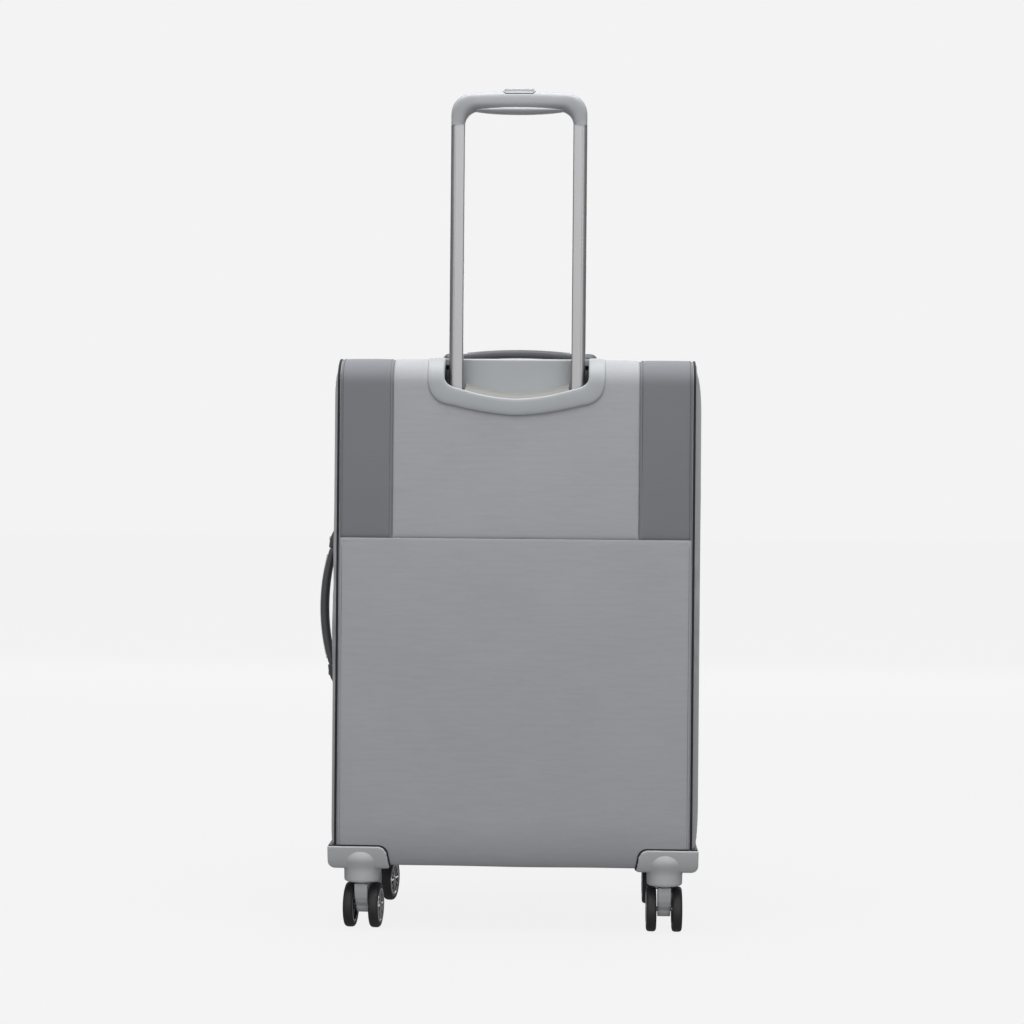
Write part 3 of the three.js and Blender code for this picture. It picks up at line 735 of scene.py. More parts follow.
def filled(grid, pressure, most, slack=0.012, frames=18):
    """Blows a sheet of cloth up from its sewn edge by simulation, and caps how far a point moves."""
    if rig.quick():
        return grid
    rows = len(grid)
    columns = len(grid[0])
    firsts = [row * columns + column for row in range(rows - 1) for column in range(columns - 1)]
    faces = [(first, first + 1, first + columns + 1, first + columns) for first in firsts]
    mesh = bpy.data.meshes.new("cloth_in_hand")
    mesh.from_pydata([tuple(point) for row in grid for point in row], [], faces)
    sheet = bpy.data.objects.new("cloth_in_hand", mesh)
    scene.collection.objects.link(sheet)
    sewn = sheet.vertex_groups.new(name="sewn")
    edge_rows = (0, 1, rows - 2, rows - 1)
    edge_columns = (0, 1, columns - 2, columns - 1)
    places = [(row, column) for row in range(rows) for column in range(columns)]
    border = [row * columns + column for row, column in places if row in edge_rows or column in edge_columns]
    sewn.add(border, 1.0, "ADD")
    step = sheet.modifiers.new("filling", "CLOTH")
    step.settings.vertex_group_mass = "sewn"
    step.settings.quality = 5
    step.settings.mass = 0.25
    step.settings.tension_stiffness = 25
    step.settings.compression_stiffness = 20
    step.settings.shear_stiffness = 10
    step.settings.bending_stiffness = 1.5
    step.settings.shrink_min = -slack
    step.settings.use_pressure = True
    step.settings.uniform_pressure_force = pressure
    step.settings.effector_weights.gravity = 0
    step.point_cache.frame_start = 1
    step.point_cache.frame_end = frames
    for number in range(1, frames + 1):
        scene.frame_set(number)
    starts = [vertex.co.copy() for vertex in mesh.vertices]
    applied(sheet)
    blown = []
    for vertex, start in zip(sheet.data.vertices, starts):
        move = vertex.co - start
        far = move.length
        blown.append(start + move * (most * math.tanh(far / most) / far if far > 1e-7 else 1.0))
    bpy.data.objects.remove(sheet)
    scene.frame_set(1)
    return [blown[row * columns:(row + 1) * columns] for row in range(rows)]


def case_heights(y, inset):
    """The lowest and the highest point of the tray's side at a depth, less an inset all round."""
    top_share = max(0.0, back_y + roll - y) / (roll - inset)
    foot_share = max(0.0, back_y + foot_deep - y) / (foot_deep - inset)
    lowest = bottom_of_flat - (foot_tall - inset) * math.sqrt(max(1 - foot_share**2, 0.0))
    return lowest, top_of_flat + (roll - inset) * math.sqrt(max(1 - top_share**2, 0.0))


for side, sign in sides:
    low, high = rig.box("side_gusset_" + side)
    welt_low, welt_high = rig.box("piping_" + side)
    root = (welt_high if sign > 0 else welt_low).x - sign * 0.0016
    board = (low if sign > 0 else high).x
    crown = abs((high if sign > 0 else low).x - root)
    inset = 0.0016
    depths = stations(back_y + inset, tray_y - 0.0005, 0.0065)
    shares = [(z - bottom_z) / (top_z - bottom_z) * 2 - 1 for z in stations(bottom_z, top_z, 0.0065)]
    outer, inner = [], []
    for y in depths:
        lowest, highest = case_heights(y, inset)
        heights = [lowest + (highest - lowest) * (share + 1) / 2 for share in shares]
        edges = [max(0.0, min(y - depths[0], depths[-1] - y, z - lowest, highest - z)) for z in heights]
        lifts = [crown * (1 - math.exp(-edge / 0.030)) for edge in edges]
        outer.append([Vector((root + sign * lift, y, z)) for lift, z in zip(lifts, heights)])
        inner.append([Vector((board, y, z)) for z in heights])
    if sign < 0:
        outer = [row[::-1] for row in outer]
        inner = [row[::-1] for row in inner]
    outer = filled(outer, 1.2, 0.0016)
    padding = piece("side_panel_" + side, *slab(outer, inner), light_cloth)
    lay_weave(padding, [(vertex.co.y, vertex.co.z) for vertex in padding.data.vertices])
    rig.ride(padding, "case")
    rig.replaces(padding, "side_gusset_" + side)
    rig.slot(padding, "light_fabric")
    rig.padded(padding, 0.55)

# ---- Handle bezel and recess --------------------------------------------------------------------
# A moulded ring follows the rolled top edge round a boat-shaped opening. Behind it a cup takes the
# retracted grip, coloured black as painted shade for the dim recess, and a bowed light panel between
# the tubes closes the view into the cup.
front_bar_low = top_of_flat + quarter + (-0.094 - back_y - roll)
front_bar_wide = 0.012
bezel_wide = 0.0205


def moulded(name, light, dark, grain=0.0004, relief=0.00003, roughness=0.45, scale=1.0, extra=None):
    """Injection-moulded plastic with a fine spark-eroded grain, faint clouding and dulled edges."""
    constants = {"Specular IOR Level": 0.45}
    constants.update(extra or {})
    plastic = Finish(name, constants)
    place = plastic.node("ShaderNodeTexCoord", {}, {}, "Object")
    speckle = plastic.cloudy(place, (scale / grain,) * 3, 2.0)
    cloud = plastic.cloudy(place, (22, 22, 22), 3.0)
    rub = plastic.cloudy(place, (160, 160, 160), 4.0)
    worn_edge = plastic.node("ShaderNodeNewGeometry", {}, {}, "Pointiness")
    edge = ((worn_edge - 0.52) * 9).maths("MAXIMUM", (worn_edge - 0.52) * 9, 0.0)
    shade = (cloud - 0.5) * 0.7 + (speckle - 0.5) * 0.25 + 0.5 + edge * 0.35
    plastic.feed("Base Color", plastic.colour(shade, dark, light))
    plastic.feed("Roughness", roughness + (rub - 0.5) * 0.16 + (speckle - 0.5) * 0.08)
    plastic.relief(speckle, relief)
    return plastic


# Black moulded plastic for the real black parts, also used as painted shade in the recess cup, the button's gap line
# and the strip round each guard.
black_plastic = moulded("black_moulded_plastic", tint(44, 45, 48), tint(34, 35, 37), roughness=0.5)


def bezel_loop(grow):
    """A loop round the recess on the unbent cloth, grown by a width, as x and s."""
    right = [tuple(point) for point in recess_side(grow)]
    side_x = recess_half + grow
    front = front_bar_low + grow * front_bar_wide / bezel_wide
    round_off = 0.006 + grow * 0.5
    right += [(side_x, s) for s in np.linspace(recess_shoulder, front - round_off, 16)[1:]]
    for turn in np.linspace(0, math.pi / 2, 7)[1:]:
        right.append((side_x - round_off * (1 - math.cos(turn)), front - round_off * (1 - math.sin(turn))))
    right += [(x, front) for x in np.linspace(side_x - round_off, 0, 12)[1:]]
    return right + [(-x, s) for x, s in right[-2:0:-1]]


bezel_profile = [
    (0.0, -0.0055), (0.0, 0.0006), (0.0003, 0.0014), (0.0009, 0.0021), (0.0020, 0.0025),
    (0.0050, 0.0027), (0.0100, 0.0028), (0.0150, 0.0027), (0.0183, 0.0024), (0.0196, 0.0020),
    (0.0203, 0.0012), (0.0205, 0.0001), (0.0203, -0.0009), (0.0100, -0.0009), (0.0022, -0.0009),
    (0.0022, -0.0055),
]
rings = [[on_case(case_x + x, s, lift) for x, s in bezel_loop(grow)] for grow, lift in bezel_profile]
# This copy of the grey plastic is painted darker than the guards' copy, to offset the strong light on the bezel and
# the recess panel.
bezel_plastic = moulded("bezel_satin_plastic", tint(164, 167, 170), tint(154, 157, 160), roughness=0.5)
bezel = piece("handle_bezel", *loft(rings, looped=True), bezel_plastic, 50)
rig.ride(bezel, "case")
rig.replaces(bezel, "trolley_bezel")
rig.slot(bezel, "grey_plastic")


def corner(across, up, radius, start, count=5):
    """Points of a rounded corner about its own middle, turning a quarter from a start angle."""
    turns = [math.radians(start + 90 * step / count) for step in range(count + 1)]
    return [(across + radius * math.cos(turn), up + radius * math.sin(turn)) for turn in turns]


def rounded_rectangle(half_wide, half_high, radius, count=6):
    """Points of a rectangle about its middle, with round corners."""
    points = []
    for start, across, up in ((0, 1, 1), (90, -1, 1), (180, -1, -1), (270, 1, -1)):
        points += corner(across * (half_wide - radius), up * (half_high - radius), radius, start, count)
    return points


cup_front = -0.094
cup_wall = 0.002
cup_top = top_z - 0.0012
tube_x = 0.0735
tube_y = -0.116


def recess_wall(grow):
    """The recess's whole lower edge from the left top corner to the right one, as x and z."""
    right = [(case_x + x, z) for x, z in recess_side(grow)]
    right.append((right[-1][0], cup_top))
    return [(2 * case_x - x, z) for x, z in right[:0:-1]] + right


def case_depth_at(z):
    """Depth of the tray's cloth at a height on the back."""
    rise = max(0.0, z - top_of_flat)
    return back_y + roll - math.sqrt(max(roll**2 - rise**2, 0.0))


def wall_grid(grow):
    rows = []
    for x, z in recess_wall(grow):
        start = case_depth_at(min(z, top_z - 0.002)) + 0.003
        rows.append([Vector((x, y, z)) for y in np.linspace(start, cup_front, 5)])
    return rows


# The cup and its back wall are black as painted shade: the black stands in for the shade deep in the recess.
cup = piece("recess_cup", *slab(wall_grid(0.0002), wall_grid(cup_wall)), black_plastic, 40)
wall_edge = recess_wall(cup_wall)
back_wall = prism("recess_cup_wall", wall_edge, cup_front, cup_front + cup_wall, through_depth, black_plastic)
leg_room = rounded_rectangle(0.0100, 0.0095, 0.003)
leg_room_low = 0.60
leg_room_high = 0.6592
for sign in (-1, 1):
    hole = [(case_x + sign * tube_x + across, tube_y + up) for across, up in leg_room]
    cut(cup, prism("leg_room", hole, leg_room_low, leg_room_high, up_height, black_plastic))
cup.data.set_sharp_from_angle(angle=math.radians(40))
for made in (cup, back_wall):
    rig.ride(made, "case")
    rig.slot(made, "dark_plastic")
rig.replaces(cup, "trolley_pocket")

panel_half = tube_x - 0.0035
lip_edge = recess_side(0.0)


def lip_height(x):
    """Height of the recess's lower edge above the floor, at a distance from the middle."""
    return float(np.interp(abs(x), [point[0] for point in lip_edge], [point[1] for point in lip_edge]))


def rounding(distance, radius):
    """A quarter round: 0 at an edge, 1 from its radius on."""
    return math.sqrt(max(0.0, 1 - (1 - min(distance / radius, 1.0)) ** 2))


panel_columns = [-panel_half + 2 * panel_half * (1 - math.cos(math.pi * step / 40)) / 2 for step in range(41)]
panel_rows = list(np.linspace(0.643, 0.680, 10)) + [0.6840, 0.6858, 0.6870, 0.6878, 0.6884, 0.6888]
panel_root = -0.0952
panel_top = 0.6889
face, hidden = [], []
for z in panel_rows:
    row = []
    for x in panel_columns:
        bow = 0.0030 + 0.0036 * (1 - (x / panel_half) ** 2)
        bow = bow * rounding(panel_half - abs(x), 0.012) * rounding(panel_top - z, 0.0016)
        row.append(Vector((case_x + x, panel_root - bow, z)))
    face.append(row)
    hidden.append([Vector((case_x + x, panel_root + 0.0012, z)) for x in panel_columns])
bowed = piece("recess_panel", *slab(face, hidden), bezel_plastic, 60)
lip_section = [
    (-0.1384, -0.0004), (-0.1375, 0.0002), (-0.130, 0.0014), (-0.120, 0.0030), (-0.110, 0.0048),
    (-0.1035, 0.0068), (-0.1005, 0.0098), (-0.0985, 0.0098), (-0.1015, 0.0052), (-0.109, 0.0032),
    (-0.120, 0.0014), (-0.130, -0.0002), (-0.1384, -0.0014),
]
lip_half = tube_x - 0.0112
lip_rings = [
    [Vector((case_x + x, y, lip_height(x) + rise)) for y, rise in lip_section]
    for x in np.linspace(-lip_half, lip_half, 41)
]
lip_plastic = moulded("recess_lip_plastic", tint(136, 136, 133), tint(126, 126, 123), roughness=0.6)
lip = piece("recess_lip", *loft(lip_rings), lip_plastic, 60)
for made in (bowed, lip):
    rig.ride(made, "case")
    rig.slot(made, "grey_plastic")

# ---- Telescopic handle --------------------------------------------------------------------------
# Two extruded aluminium tubes, satin anodised, run down into fixed outer tubes in the case. Each
# has a flat face with a guide groove, and a broad round on its outer side.


def brushed(name, light, dark, roughness, along=(1100, 1100, 7)):
    """Metal with fine lines drawn along one direction."""
    metal = Finish(name, {"Metallic": 1.0})
    place = metal.node("ShaderNodeTexCoord", {}, {}, "Object")
    lines = metal.cloudy(place, along, 2.0)
    haze = metal.cloudy(place, (30, 30, 12), 3.0)
    metal.feed("Base Color", metal.colour(lines * 0.6 + haze * 0.4, dark, light))
    metal.feed("Roughness", lines * 0.14 + haze * 0.08 + (roughness - 0.11))
    metal.relief(lines, 0.000012)
    return metal


aluminium = brushed("satin_aluminium", tint(178, 178, 179), tint(159, 159, 161), 0.44)
steel = brushed("zinc_plated_steel", tint(176, 178, 180), tint(140, 142, 145), 0.34, (300, 300, 300))


def tube_section(wide, deep, sign, inset=0.0):
    """Half-widths go out to the handle's outer side; the groove is on the back and front faces."""
    half = wide / 2 - inset
    thick = deep / 2 - inset
    big = 0.0058 - inset
    small = max(0.0016 - inset, 0.0004)
    floor = thick - 0.0006
    groove = [] if inset else [(0.0036, thick), (0.0033, floor), (0.0027, floor), (0.0024, thick)]
    upper = corner(half - big, thick - big, big, 0) + groove + corner(small - half, thick - small, small, 90)
    lower = [(across, -up) for across, up in upper[::-1]]
    return [(sign * across, up) for across, up in upper + lower]


tube_wide = 0.0168
tube_deep = 0.0140
tube_wall = 0.0012
for side, sign in sides:
    low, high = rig.box("inner_tube_" + side)
    middle_x = (low.x + high.x) / 2
    outline = tube_section(tube_wide, tube_deep, sign)
    bore = tube_section(tube_wide, tube_deep, sign, tube_wall)
    rings = [
        [Vector((middle_x + across, tube_y - up, z)) for across, up in outline]
        for z in (low.z, (low.z + high.z) / 2, high.z - 0.0035)
    ]
    tube = piece("telescopic_tube_" + side, *loft(rings), aluminium, 30)
    bore_rings = [
        [Vector((middle_x + across, tube_y - up, z)) for across, up in bore]
        for z in (low.z - 0.01, high.z + 0.01)
    ]
    cut(tube, piece("tube_bore", *loft(bore_rings), aluminium))
    tube.data.set_sharp_from_angle(angle=math.radians(30))
    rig.ride(tube, "trolley")
    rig.replaces(tube, "inner_tube_" + side)
    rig.slot(tube, "tube_aluminium")
    frame["nodes"]["outer_tube_" + side].data.materials[0] = aluminium.material
    for node in ("push_rod_" + side, "lock_pin_" + side):
        frame["nodes"][node].data.materials[0] = steel.material

# ---- Grip and release button --------------------------------------------------------------------
# The grip is one U-shaped moulding that swells from a sleeve on each tube to a deep hand bar. A
# spindle-shaped soft pad is let into its underside, and a flat button sits in a slot on its top.
grip_plastic = moulded("grip_satin_plastic", tint(160, 162, 165), tint(150, 152, 156), roughness=0.42)
# The soft pad has a lighter grey of its own, and is painted lighter still to offset the shade on its downward face.
pad_plastic = moulded("grip_soft_pad", tint(186, 188, 191), tint(176, 178, 181), grain=0.0006, roughness=0.5)
grip_low, grip_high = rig.box("grip")
grip_half = (grip_high.x - grip_low.x) / 2
leg_wide = tube_wide
leg_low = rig.box("inner_tube_left")[1].z - 0.0035
grip_under = 0.986
outer_round = 0.027
inner_round = grip_under - leg_low
crown_rise = 0.0016


def grip_edge():
    """Pairs of an outer and an inner point of the grip's left half, from the sleeve to the middle."""
    pairs = []
    shoulder_z = grip_high.z - crown_rise - outer_round
    for share in (0.0, 0.35, 0.7):
        outer = (-grip_half, leg_low + (shoulder_z - leg_low) * share)
        inner = (leg_wide - grip_half, leg_low + 0.0004 * share)
        pairs.append((outer, inner))
    for turn in np.linspace(0, math.pi / 2, 13):
        flare = math.sin(turn) ** 0.9
        outer = (-grip_half + outer_round * (1 - math.cos(turn)), shoulder_z + outer_round * flare)
        inner_x = leg_wide - grip_half + inner_round * (1 - math.cos(turn))
        inner = (inner_x, leg_low + inner_round * math.sin(turn))
        pairs.append((outer, inner))
    for share in np.linspace(0, 1, 12)[1:]:
        rise = crown_rise * math.sin(share * math.pi / 2)
        outer_x = (-grip_half + outer_round) * (1 - share)
        inner_x = (leg_wide - grip_half + inner_round) * (1 - share)
        pairs.append(((outer_x, grip_high.z - crown_rise + rise), (inner_x, grip_under)))
    return pairs


def oval(half_wide, half_high, power, sides_count):
    """Points of a rounded oval. A power of 2 is an ellipse, and more is squarer."""
    points = []
    for step in range(sides_count):
        turn = math.tau * (step + 0.5) / sides_count
        across = math.copysign(abs(math.cos(turn)) ** (2 / power), math.cos(turn))
        up = math.copysign(abs(math.sin(turn)) ** (2 / power), math.sin(turn))
        points.append((half_wide * across, half_high * up))
    return points


left_half = grip_edge()
right_half = [((-outer[0], outer[1]), (-inner[0], inner[1])) for outer, inner in left_half[-2::-1]]
grip_pairs = left_half + right_half
grip_rings = []
for index, (outer, inner) in enumerate(grip_pairs):
    share = min(index, len(grip_pairs) - 1 - index) / (len(left_half) - 1)
    swell = min(share / 0.6, 1.0)
    depth = 0.0077 + 0.0053 * swell * swell * (3 - 2 * swell)
    middle = (Vector(outer) + Vector(inner)) / 2
    reach = (Vector(outer) - Vector(inner)) / 2
    grip_rings.append([
        Vector((case_x + middle.x + reach.x * up, tube_y + depth * across, middle.y + reach.y * up))
        for across, up in oval(1.0, 1.0, 2.9, 36)
    ])
grip = piece("grip_bar", *loft(grip_rings), grip_plastic, 70)


def upright(across, depth, z):
    return case_x + across, tube_y + depth, z


def through_grip(across, z, depth):
    return case_x + across, tube_y + depth, z


slot_shape = rounded_rectangle(0.0186, 0.0078, 0.0036)
slot_low = 0.9933
slot_high = 1.03
cut(grip, prism("button_slot", slot_shape, slot_low, slot_high, upright, grip_plastic))
channel = [
    (-0.0750, 0.9886), (0.0750, 0.9886), (0.0750, 0.9956),
    (0.0655, 1.0005), (-0.0655, 1.0005), (-0.0750, 0.9956),
]
channel_half = 0.004
cut(grip, prism("yoke_channel", channel, -channel_half, channel_half, through_grip, grip_plastic))
grip.data.set_sharp_from_angle(angle=math.radians(50))
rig.ride(grip, "trolley")
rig.replaces(grip, "grip")
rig.slot(grip, "grip_plastic")

pad_half = 0.0545
pad_z = 0.9862
pad_rings = []
for step in range(29):
    x = -pad_half * math.cos(math.pi * step / 28)
    fullness = max(1 - (x / pad_half) ** 2, 0.0005)
    section = oval(0.0060 + 0.0068 * fullness**0.5, 0.0043 * fullness**0.75, 2.3, 24)
    pad_rings.append([Vector((case_x + x, tube_y + across, pad_z + up)) for across, up in section])
pad = piece("grip_pad", *loft(pad_rings), pad_plastic, 80)
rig.ride(pad, "trolley")
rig.replaces(pad, "grip_insert")
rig.slot(pad, "grey_plastic")

button_profile = (
    (0.0004, 0.9980), (0.0, 0.9986), (0.0, 1.0105), (0.0003, 1.0114),
    (0.0010, 1.0121), (0.0020, 1.0124), (0.0045, 1.0126),
)
button_rings = []
for inset, z in button_profile:
    outline = rounded_rectangle(0.018 - inset, 0.007 - inset, max(0.003 - inset * 0.5, 0.0008))
    button_rings.append([Vector(upright(across, depth, z)) for across, depth in outline])
button = piece("release_button_cap", *loft(button_rings), grip_plastic, 60)
yoke_right = [(0.0745, 0.995), (0.0745, 0.9953), (0.066, 0.999)]
yoke = [(-0.0745, 0.995)] + yoke_right + [(-0.066, 0.999), (-0.0745, 0.9953)]
yoke_half = 0.0035
yoke_bar = prism("release_yoke", yoke, -yoke_half, yoke_half, through_grip, black_plastic)
for made in (button, yoke_bar):
    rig.ride(made, "button")
    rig.slot(made, "grip_plastic")
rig.replaces(button, "release_button")

grip_tree = BVHTree.FromObject(grip, bpy.context.evaluated_depsgraph_get())


def on_grip(across, z, sunk):
    """A point a little inside the grip's rear face, at a distance across and a height."""
    start = Vector((case_x + across, tube_y - 0.06, z))
    place, out, *_ = grip_tree.ray_cast(start, Vector((0, 1, 0)))
    return place - out * sunk


# A thin black tube sunk round the button is painted shade: it stands in for the shadow in the gap round the button
# cap.
gap_z = 1.0052
quarter_turns = [math.sin(turn) for turn in np.linspace(0, math.pi / 2, 7)]
gap_corner = [(0.0196 - 0.0034 * turned_in, gap_z + 0.0030 * (1 - turned_in)) for turned_in in quarter_turns]
gap_right = gap_corner + [(across, gap_z) for across in np.linspace(0.0148, 0.0, 9)]
gap_run = gap_right + [(-across, z) for across, z in gap_right[-2::-1]]
gap_rings = swept([on_grip(across, z, 0.0005) for across, z in gap_run], circle(0.0010, 10), (0, -1, 0))
gap = piece("button_gap_line", *loft(gap_rings), black_plastic, 60)
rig.ride(gap, "trolley")
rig.slot(gap, "dark_plastic")

spring_low, spring_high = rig.box("button_spring")
spring_middle = (spring_low + spring_high) / 2
spring_foot = (spring_middle.x, spring_middle.y, spring_low.z)
spring_head = (spring_middle.x, spring_middle.y, spring_high.z)
coil_run = []
for step, (across, depth) in enumerate(circle(0.0024, 16) * 6 + circle(0.0024, 16)[:1]):
    height = spring_low.z + 0.0004 + (spring_high.z - spring_low.z - 0.0004) * step / 96
    coil_run.append(Vector((spring_middle.x + across, spring_middle.y + depth, height)))
spring = piece("button_spring_coil", *loft(swept(coil_run, circle(0.00028, 8), (0, 0, 1))), steel)
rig.blend(spring, "trolley", "button", start=spring_foot, end=spring_head)
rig.replaces(spring, "button_spring")
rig.slot(spring, "steel")

# ---- Carry handles ------------------------------------------------------------------------------
# Each carry handle is a padded strap covered in dark soft rubber, arched over a hand gap. Webbing
# tongues run from its ends into two moulded caps that are riveted to the case.
soft_rubber = moulded("soft_dark_rubber", tint(92, 93, 96), tint(74, 75, 78), 0.0007, 0.00006, roughness=0.55)
cap_plastic = moulded("dark_cap_plastic", tint(84, 85, 88), tint(70, 71, 74), roughness=0.4)
webbing = woven("dark_webbing", tint(66, 67, 70), tint(48, 49, 52), 0.0016, 0.0003, slub=0.2)
handle_y = (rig.box("top_handle_grip")[0].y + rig.box("top_handle_grip")[1].y) / 2
handle_half = 0.0727
handle_deep = 0.028
pad_half_thick = 0.0041
cap_long = 0.0255
cap_shares = (0.0, 0.02, 0.06, 0.14, 0.26, 0.40, 0.55, 0.70, 0.82, 0.91, 0.97, 1.0)
rivet_profile = (
    (0.0036, -0.0012), (0.0036, 0.0002), (0.0031, 0.0009), (0.0020, 0.0013),
    (0.0012, 0.0014), (0.0011, 0.0009), (0.0001, 0.0009),
)
side_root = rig.box("side_gusset_left")[0].x
side_middle_z = sum(corner.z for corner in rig.box("side_handle_grip")) / 2


def on_top(along, across, rise):
    return Vector((case_x + along, handle_y + across, top_z + rise))


def on_side(along, across, rise):
    return Vector((side_root - rise, handle_y + across, side_middle_z + along))


def strap_ring(place, along, centre, tilt, half_wide, half_thick, power=3.2, count=28):
    """A section of a flat strap that leans with its arch."""
    ring = []
    for across, up in oval(half_wide, half_thick, power, count):
        ring.append(place(along - up * math.sin(tilt), across, centre + up * math.cos(tilt)))
    return ring


def handle_cap(place, end, top, fall):
    """A cap's sections from its open end to its nose. A higher fall keeps it full for longer."""
    rings = []
    for share in cap_shares:
        along = end * (handle_half + 0.0003 + cap_long * share)
        lead_in = min(share / 0.06, 1.0)
        dome = math.sqrt(max(1 - share**fall, 0.0004)) * (0.93 + 0.07 * lead_in)
        narrowing = math.sqrt(max(1 - (0.93 * share) ** 5, 0.02))
        wide = (handle_deep / 2 + 0.001) * (0.95 + 0.05 * lead_in) * narrowing
        ring = []
        for step in range(25):
            turn = math.pi * step / 24
            across = wide * math.copysign(abs(math.cos(turn)) ** 0.55, math.cos(turn))
            ring.append(place(along, across, 0.0003 + top * dome * math.sin(turn) ** 0.62))
        rings.append(ring)
    return rings


def carry_handle(name, node, body, joint_caps, place, end_rise, middle_rise, fall):
    """The padded grip, its edge seams, two webbing tongues and two riveted caps."""

    def arch(along):
        share = 1 - (along / handle_half) ** 2
        return end_rise + (middle_rise - end_rise) * share

    def tilt(along):
        return math.atan(-2 * (middle_rise - end_rise) * along / handle_half**2)

    rings = []
    for step in range(49):
        along = -handle_half * math.cos(math.pi * step / 48)
        round_end = rounding(handle_half - abs(along) + 0.0004, 0.0035)
        swell = 1 + 0.16 * (1 - (along / handle_half) ** 2)
        half_wide = handle_deep / 2 * (0.90 + 0.10 * round_end)
        half_thick = pad_half_thick * round_end * swell
        rings.append(strap_ring(place, along, arch(along), tilt(along), half_wide, half_thick))
    grip = piece(name + "_pad", *loft(rings), soft_rubber, 80)
    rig.ride(grip, body)
    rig.replaces(grip, node)
    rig.slot(grip, "handle_rubber")
    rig.padded(grip, 0.8)
    away = place(0, 0, 1) - place(0, 0, 0)
    seam_rise = pad_half_thick * 1.16
    seam_across = handle_deep / 2 - 0.0042
    seam_places = np.linspace(-0.066, 0.066, 60)
    for edge_name, sign in (("back", -1), ("front", 1)):
        path = [place(along, sign * seam_across, arch(along) + seam_rise) for along in seam_places]
        seam = stitching(name + "_seam_" + edge_name, path, away, dark_thread, pitch=0.0034, thread=0.0005)
        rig.ride(seam, body)
    for end, (cap_node, cap_name) in zip((-1, 1), joint_caps):
        tongue_rings = []
        for share in np.linspace(0, 1, 9):
            along = end * (handle_half + 0.0080 - share * 0.0125)
            rise = arch(handle_half) - 0.0002 + 0.0006 * share
            lean = tilt(end * handle_half) * share
            tongue_rings.append(strap_ring(place, along, rise, lean, 0.0112, 0.0011, 5, 20))
        tongue = wound(name + "_tongue_" + cap_name, tongue_rings, webbing)
        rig.blend(
            tongue, "case", body,
            start=place(end * (handle_half + 0.004), 0, arch(handle_half)),
            end=place(end * (handle_half - 0.003), 0, arch(handle_half)),
        )
        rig.slot(tongue, "dark_fabric")
        top = arch(handle_half) + 0.0052
        cap = piece(name + "_cap_" + cap_name, *loft(handle_cap(place, end, top, fall)), cap_plastic, 55)
        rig.ride(cap, "case")
        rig.replaces(cap, cap_node)
        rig.slot(cap, "dark_plastic")
        rivet_along = end * (handle_half + 0.0115)
        rivet_rings = [
            [place(rivet_along + a, b, top * 0.895 + rise) for a, b in circle(radius, 20)]
            for radius, rise in rivet_profile
        ]
        rivet = piece(name + "_rivet_" + cap_name, *loft(rivet_rings), steel, 40)
        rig.ride(rivet, "case")
        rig.slot(rivet, "steel")


carry_handle(
    "top_handle", "top_handle_grip", "top_handle",
    (("top_handle_cap_left", "left"), ("top_handle_cap_right", "right")), on_top, 0.0106, 0.0151, 7,
)
carry_handle(
    "side_handle", "side_handle_grip", "side_handle",
    (("side_handle_cap_lower", "lower"), ("side_handle_cap_upper", "upper")), on_side, 0.0062, 0.0166, 1.7,
)

# ---- Corner guards ------------------------------------------------------------------------------
# A moulded guard wraps each bottom corner and is screwed to the frame through the cloth. The round
# housing of the caster grows out of it as a half dome and goes on below as a short barrel.
# The guards and the bezel are one grey plastic; this copy is painted lighter to offset the shade on the guards' low,
# tilted faces and on the housings.
guard_plastic = moulded("guard_moulded_plastic", tint(188, 190, 193), tint(176, 178, 181), roughness=0.48)
guard_proud = 0.0025
guard_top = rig.box("corner_guard_rear_left")[1].z


def tray_outline(inset, front, drop=0.0):
    """The tray's outline from its side, as depth and height, set in by a width and dropped at its foot."""
    deep, tall = foot_deep - inset, foot_tall - inset + drop
    low, high, back = bottom_z + inset - drop, 0.30, back_y + inset
    turns = [math.pi / 2 * step / 16 for step in range(17)]
    arc = [(back + deep - deep * math.sin(turn), low + tall - tall * math.cos(turn)) for turn in turns]
    return [(front, high), (front, low)] + arc + [(back, high)]


def fused(made, voxel, rounds):
    """Runs all of a moulding's solids into one skin and rounds its edges as a mould does."""
    skin = made.modifiers.new("skin", "REMESH")
    skin.mode = "VOXEL"
    skin.voxel_size = voxel
    skin.use_smooth_shade = True
    ease = made.modifiers.new("ease", "SMOOTH")
    ease.factor = 0.5
    ease.iterations = rounds
    return applied(made)


caster_reach = 0.182
corners = (
    ("rear_left", -1, -0.114), ("rear_right", 1, -0.114),
    ("front_left", -1, 0.068), ("front_right", 1, 0.068),
)
housing_profile = (
    (0.0056, 0.0585), (0.0175, 0.0585), (0.0194, 0.0588), (0.0205, 0.0594), (0.0211, 0.0606),
    (0.0213, 0.0625), (0.0214, 0.0710), (0.0216, 0.0740), (0.0224, 0.0775), (0.0238, 0.0810),
    (0.0250, 0.0845), (0.0254, 0.0880), (0.0251, 0.0910), (0.0244, 0.0938), (0.0236, 0.0960),
    (0.0226, 0.0976), (0.0200, 0.0988), (0.0056, 0.0988),
)


def guard_face(x_out, x_in, z_low, z_top, inner_round):
    """The guard seen from behind: rounded below on its outer side and above on its inner side."""
    half = abs(x_in - x_out) / 2
    middle_x = (x_out + x_in) / 2
    turn_way = 1 if x_in > x_out else -1
    outer_round = 0.009
    inner_slant = 0.0025
    turns = [(1 - math.cos(turn), 1 - math.sin(turn)) for turn in np.linspace(0, math.pi / 2, 9)]
    points = [(-half, z_top)]
    points += [(-half + outer_round * a, z_low + outer_round * b) for a, b in turns]
    points += [(half - 0.002, z_low), (half, z_low + 0.002)]
    points += [(half - inner_slant - inner_round * a, z_top - inner_round * b) for a, b in turns]
    return [(middle_x + turn_way * across, up) for across, up in points]


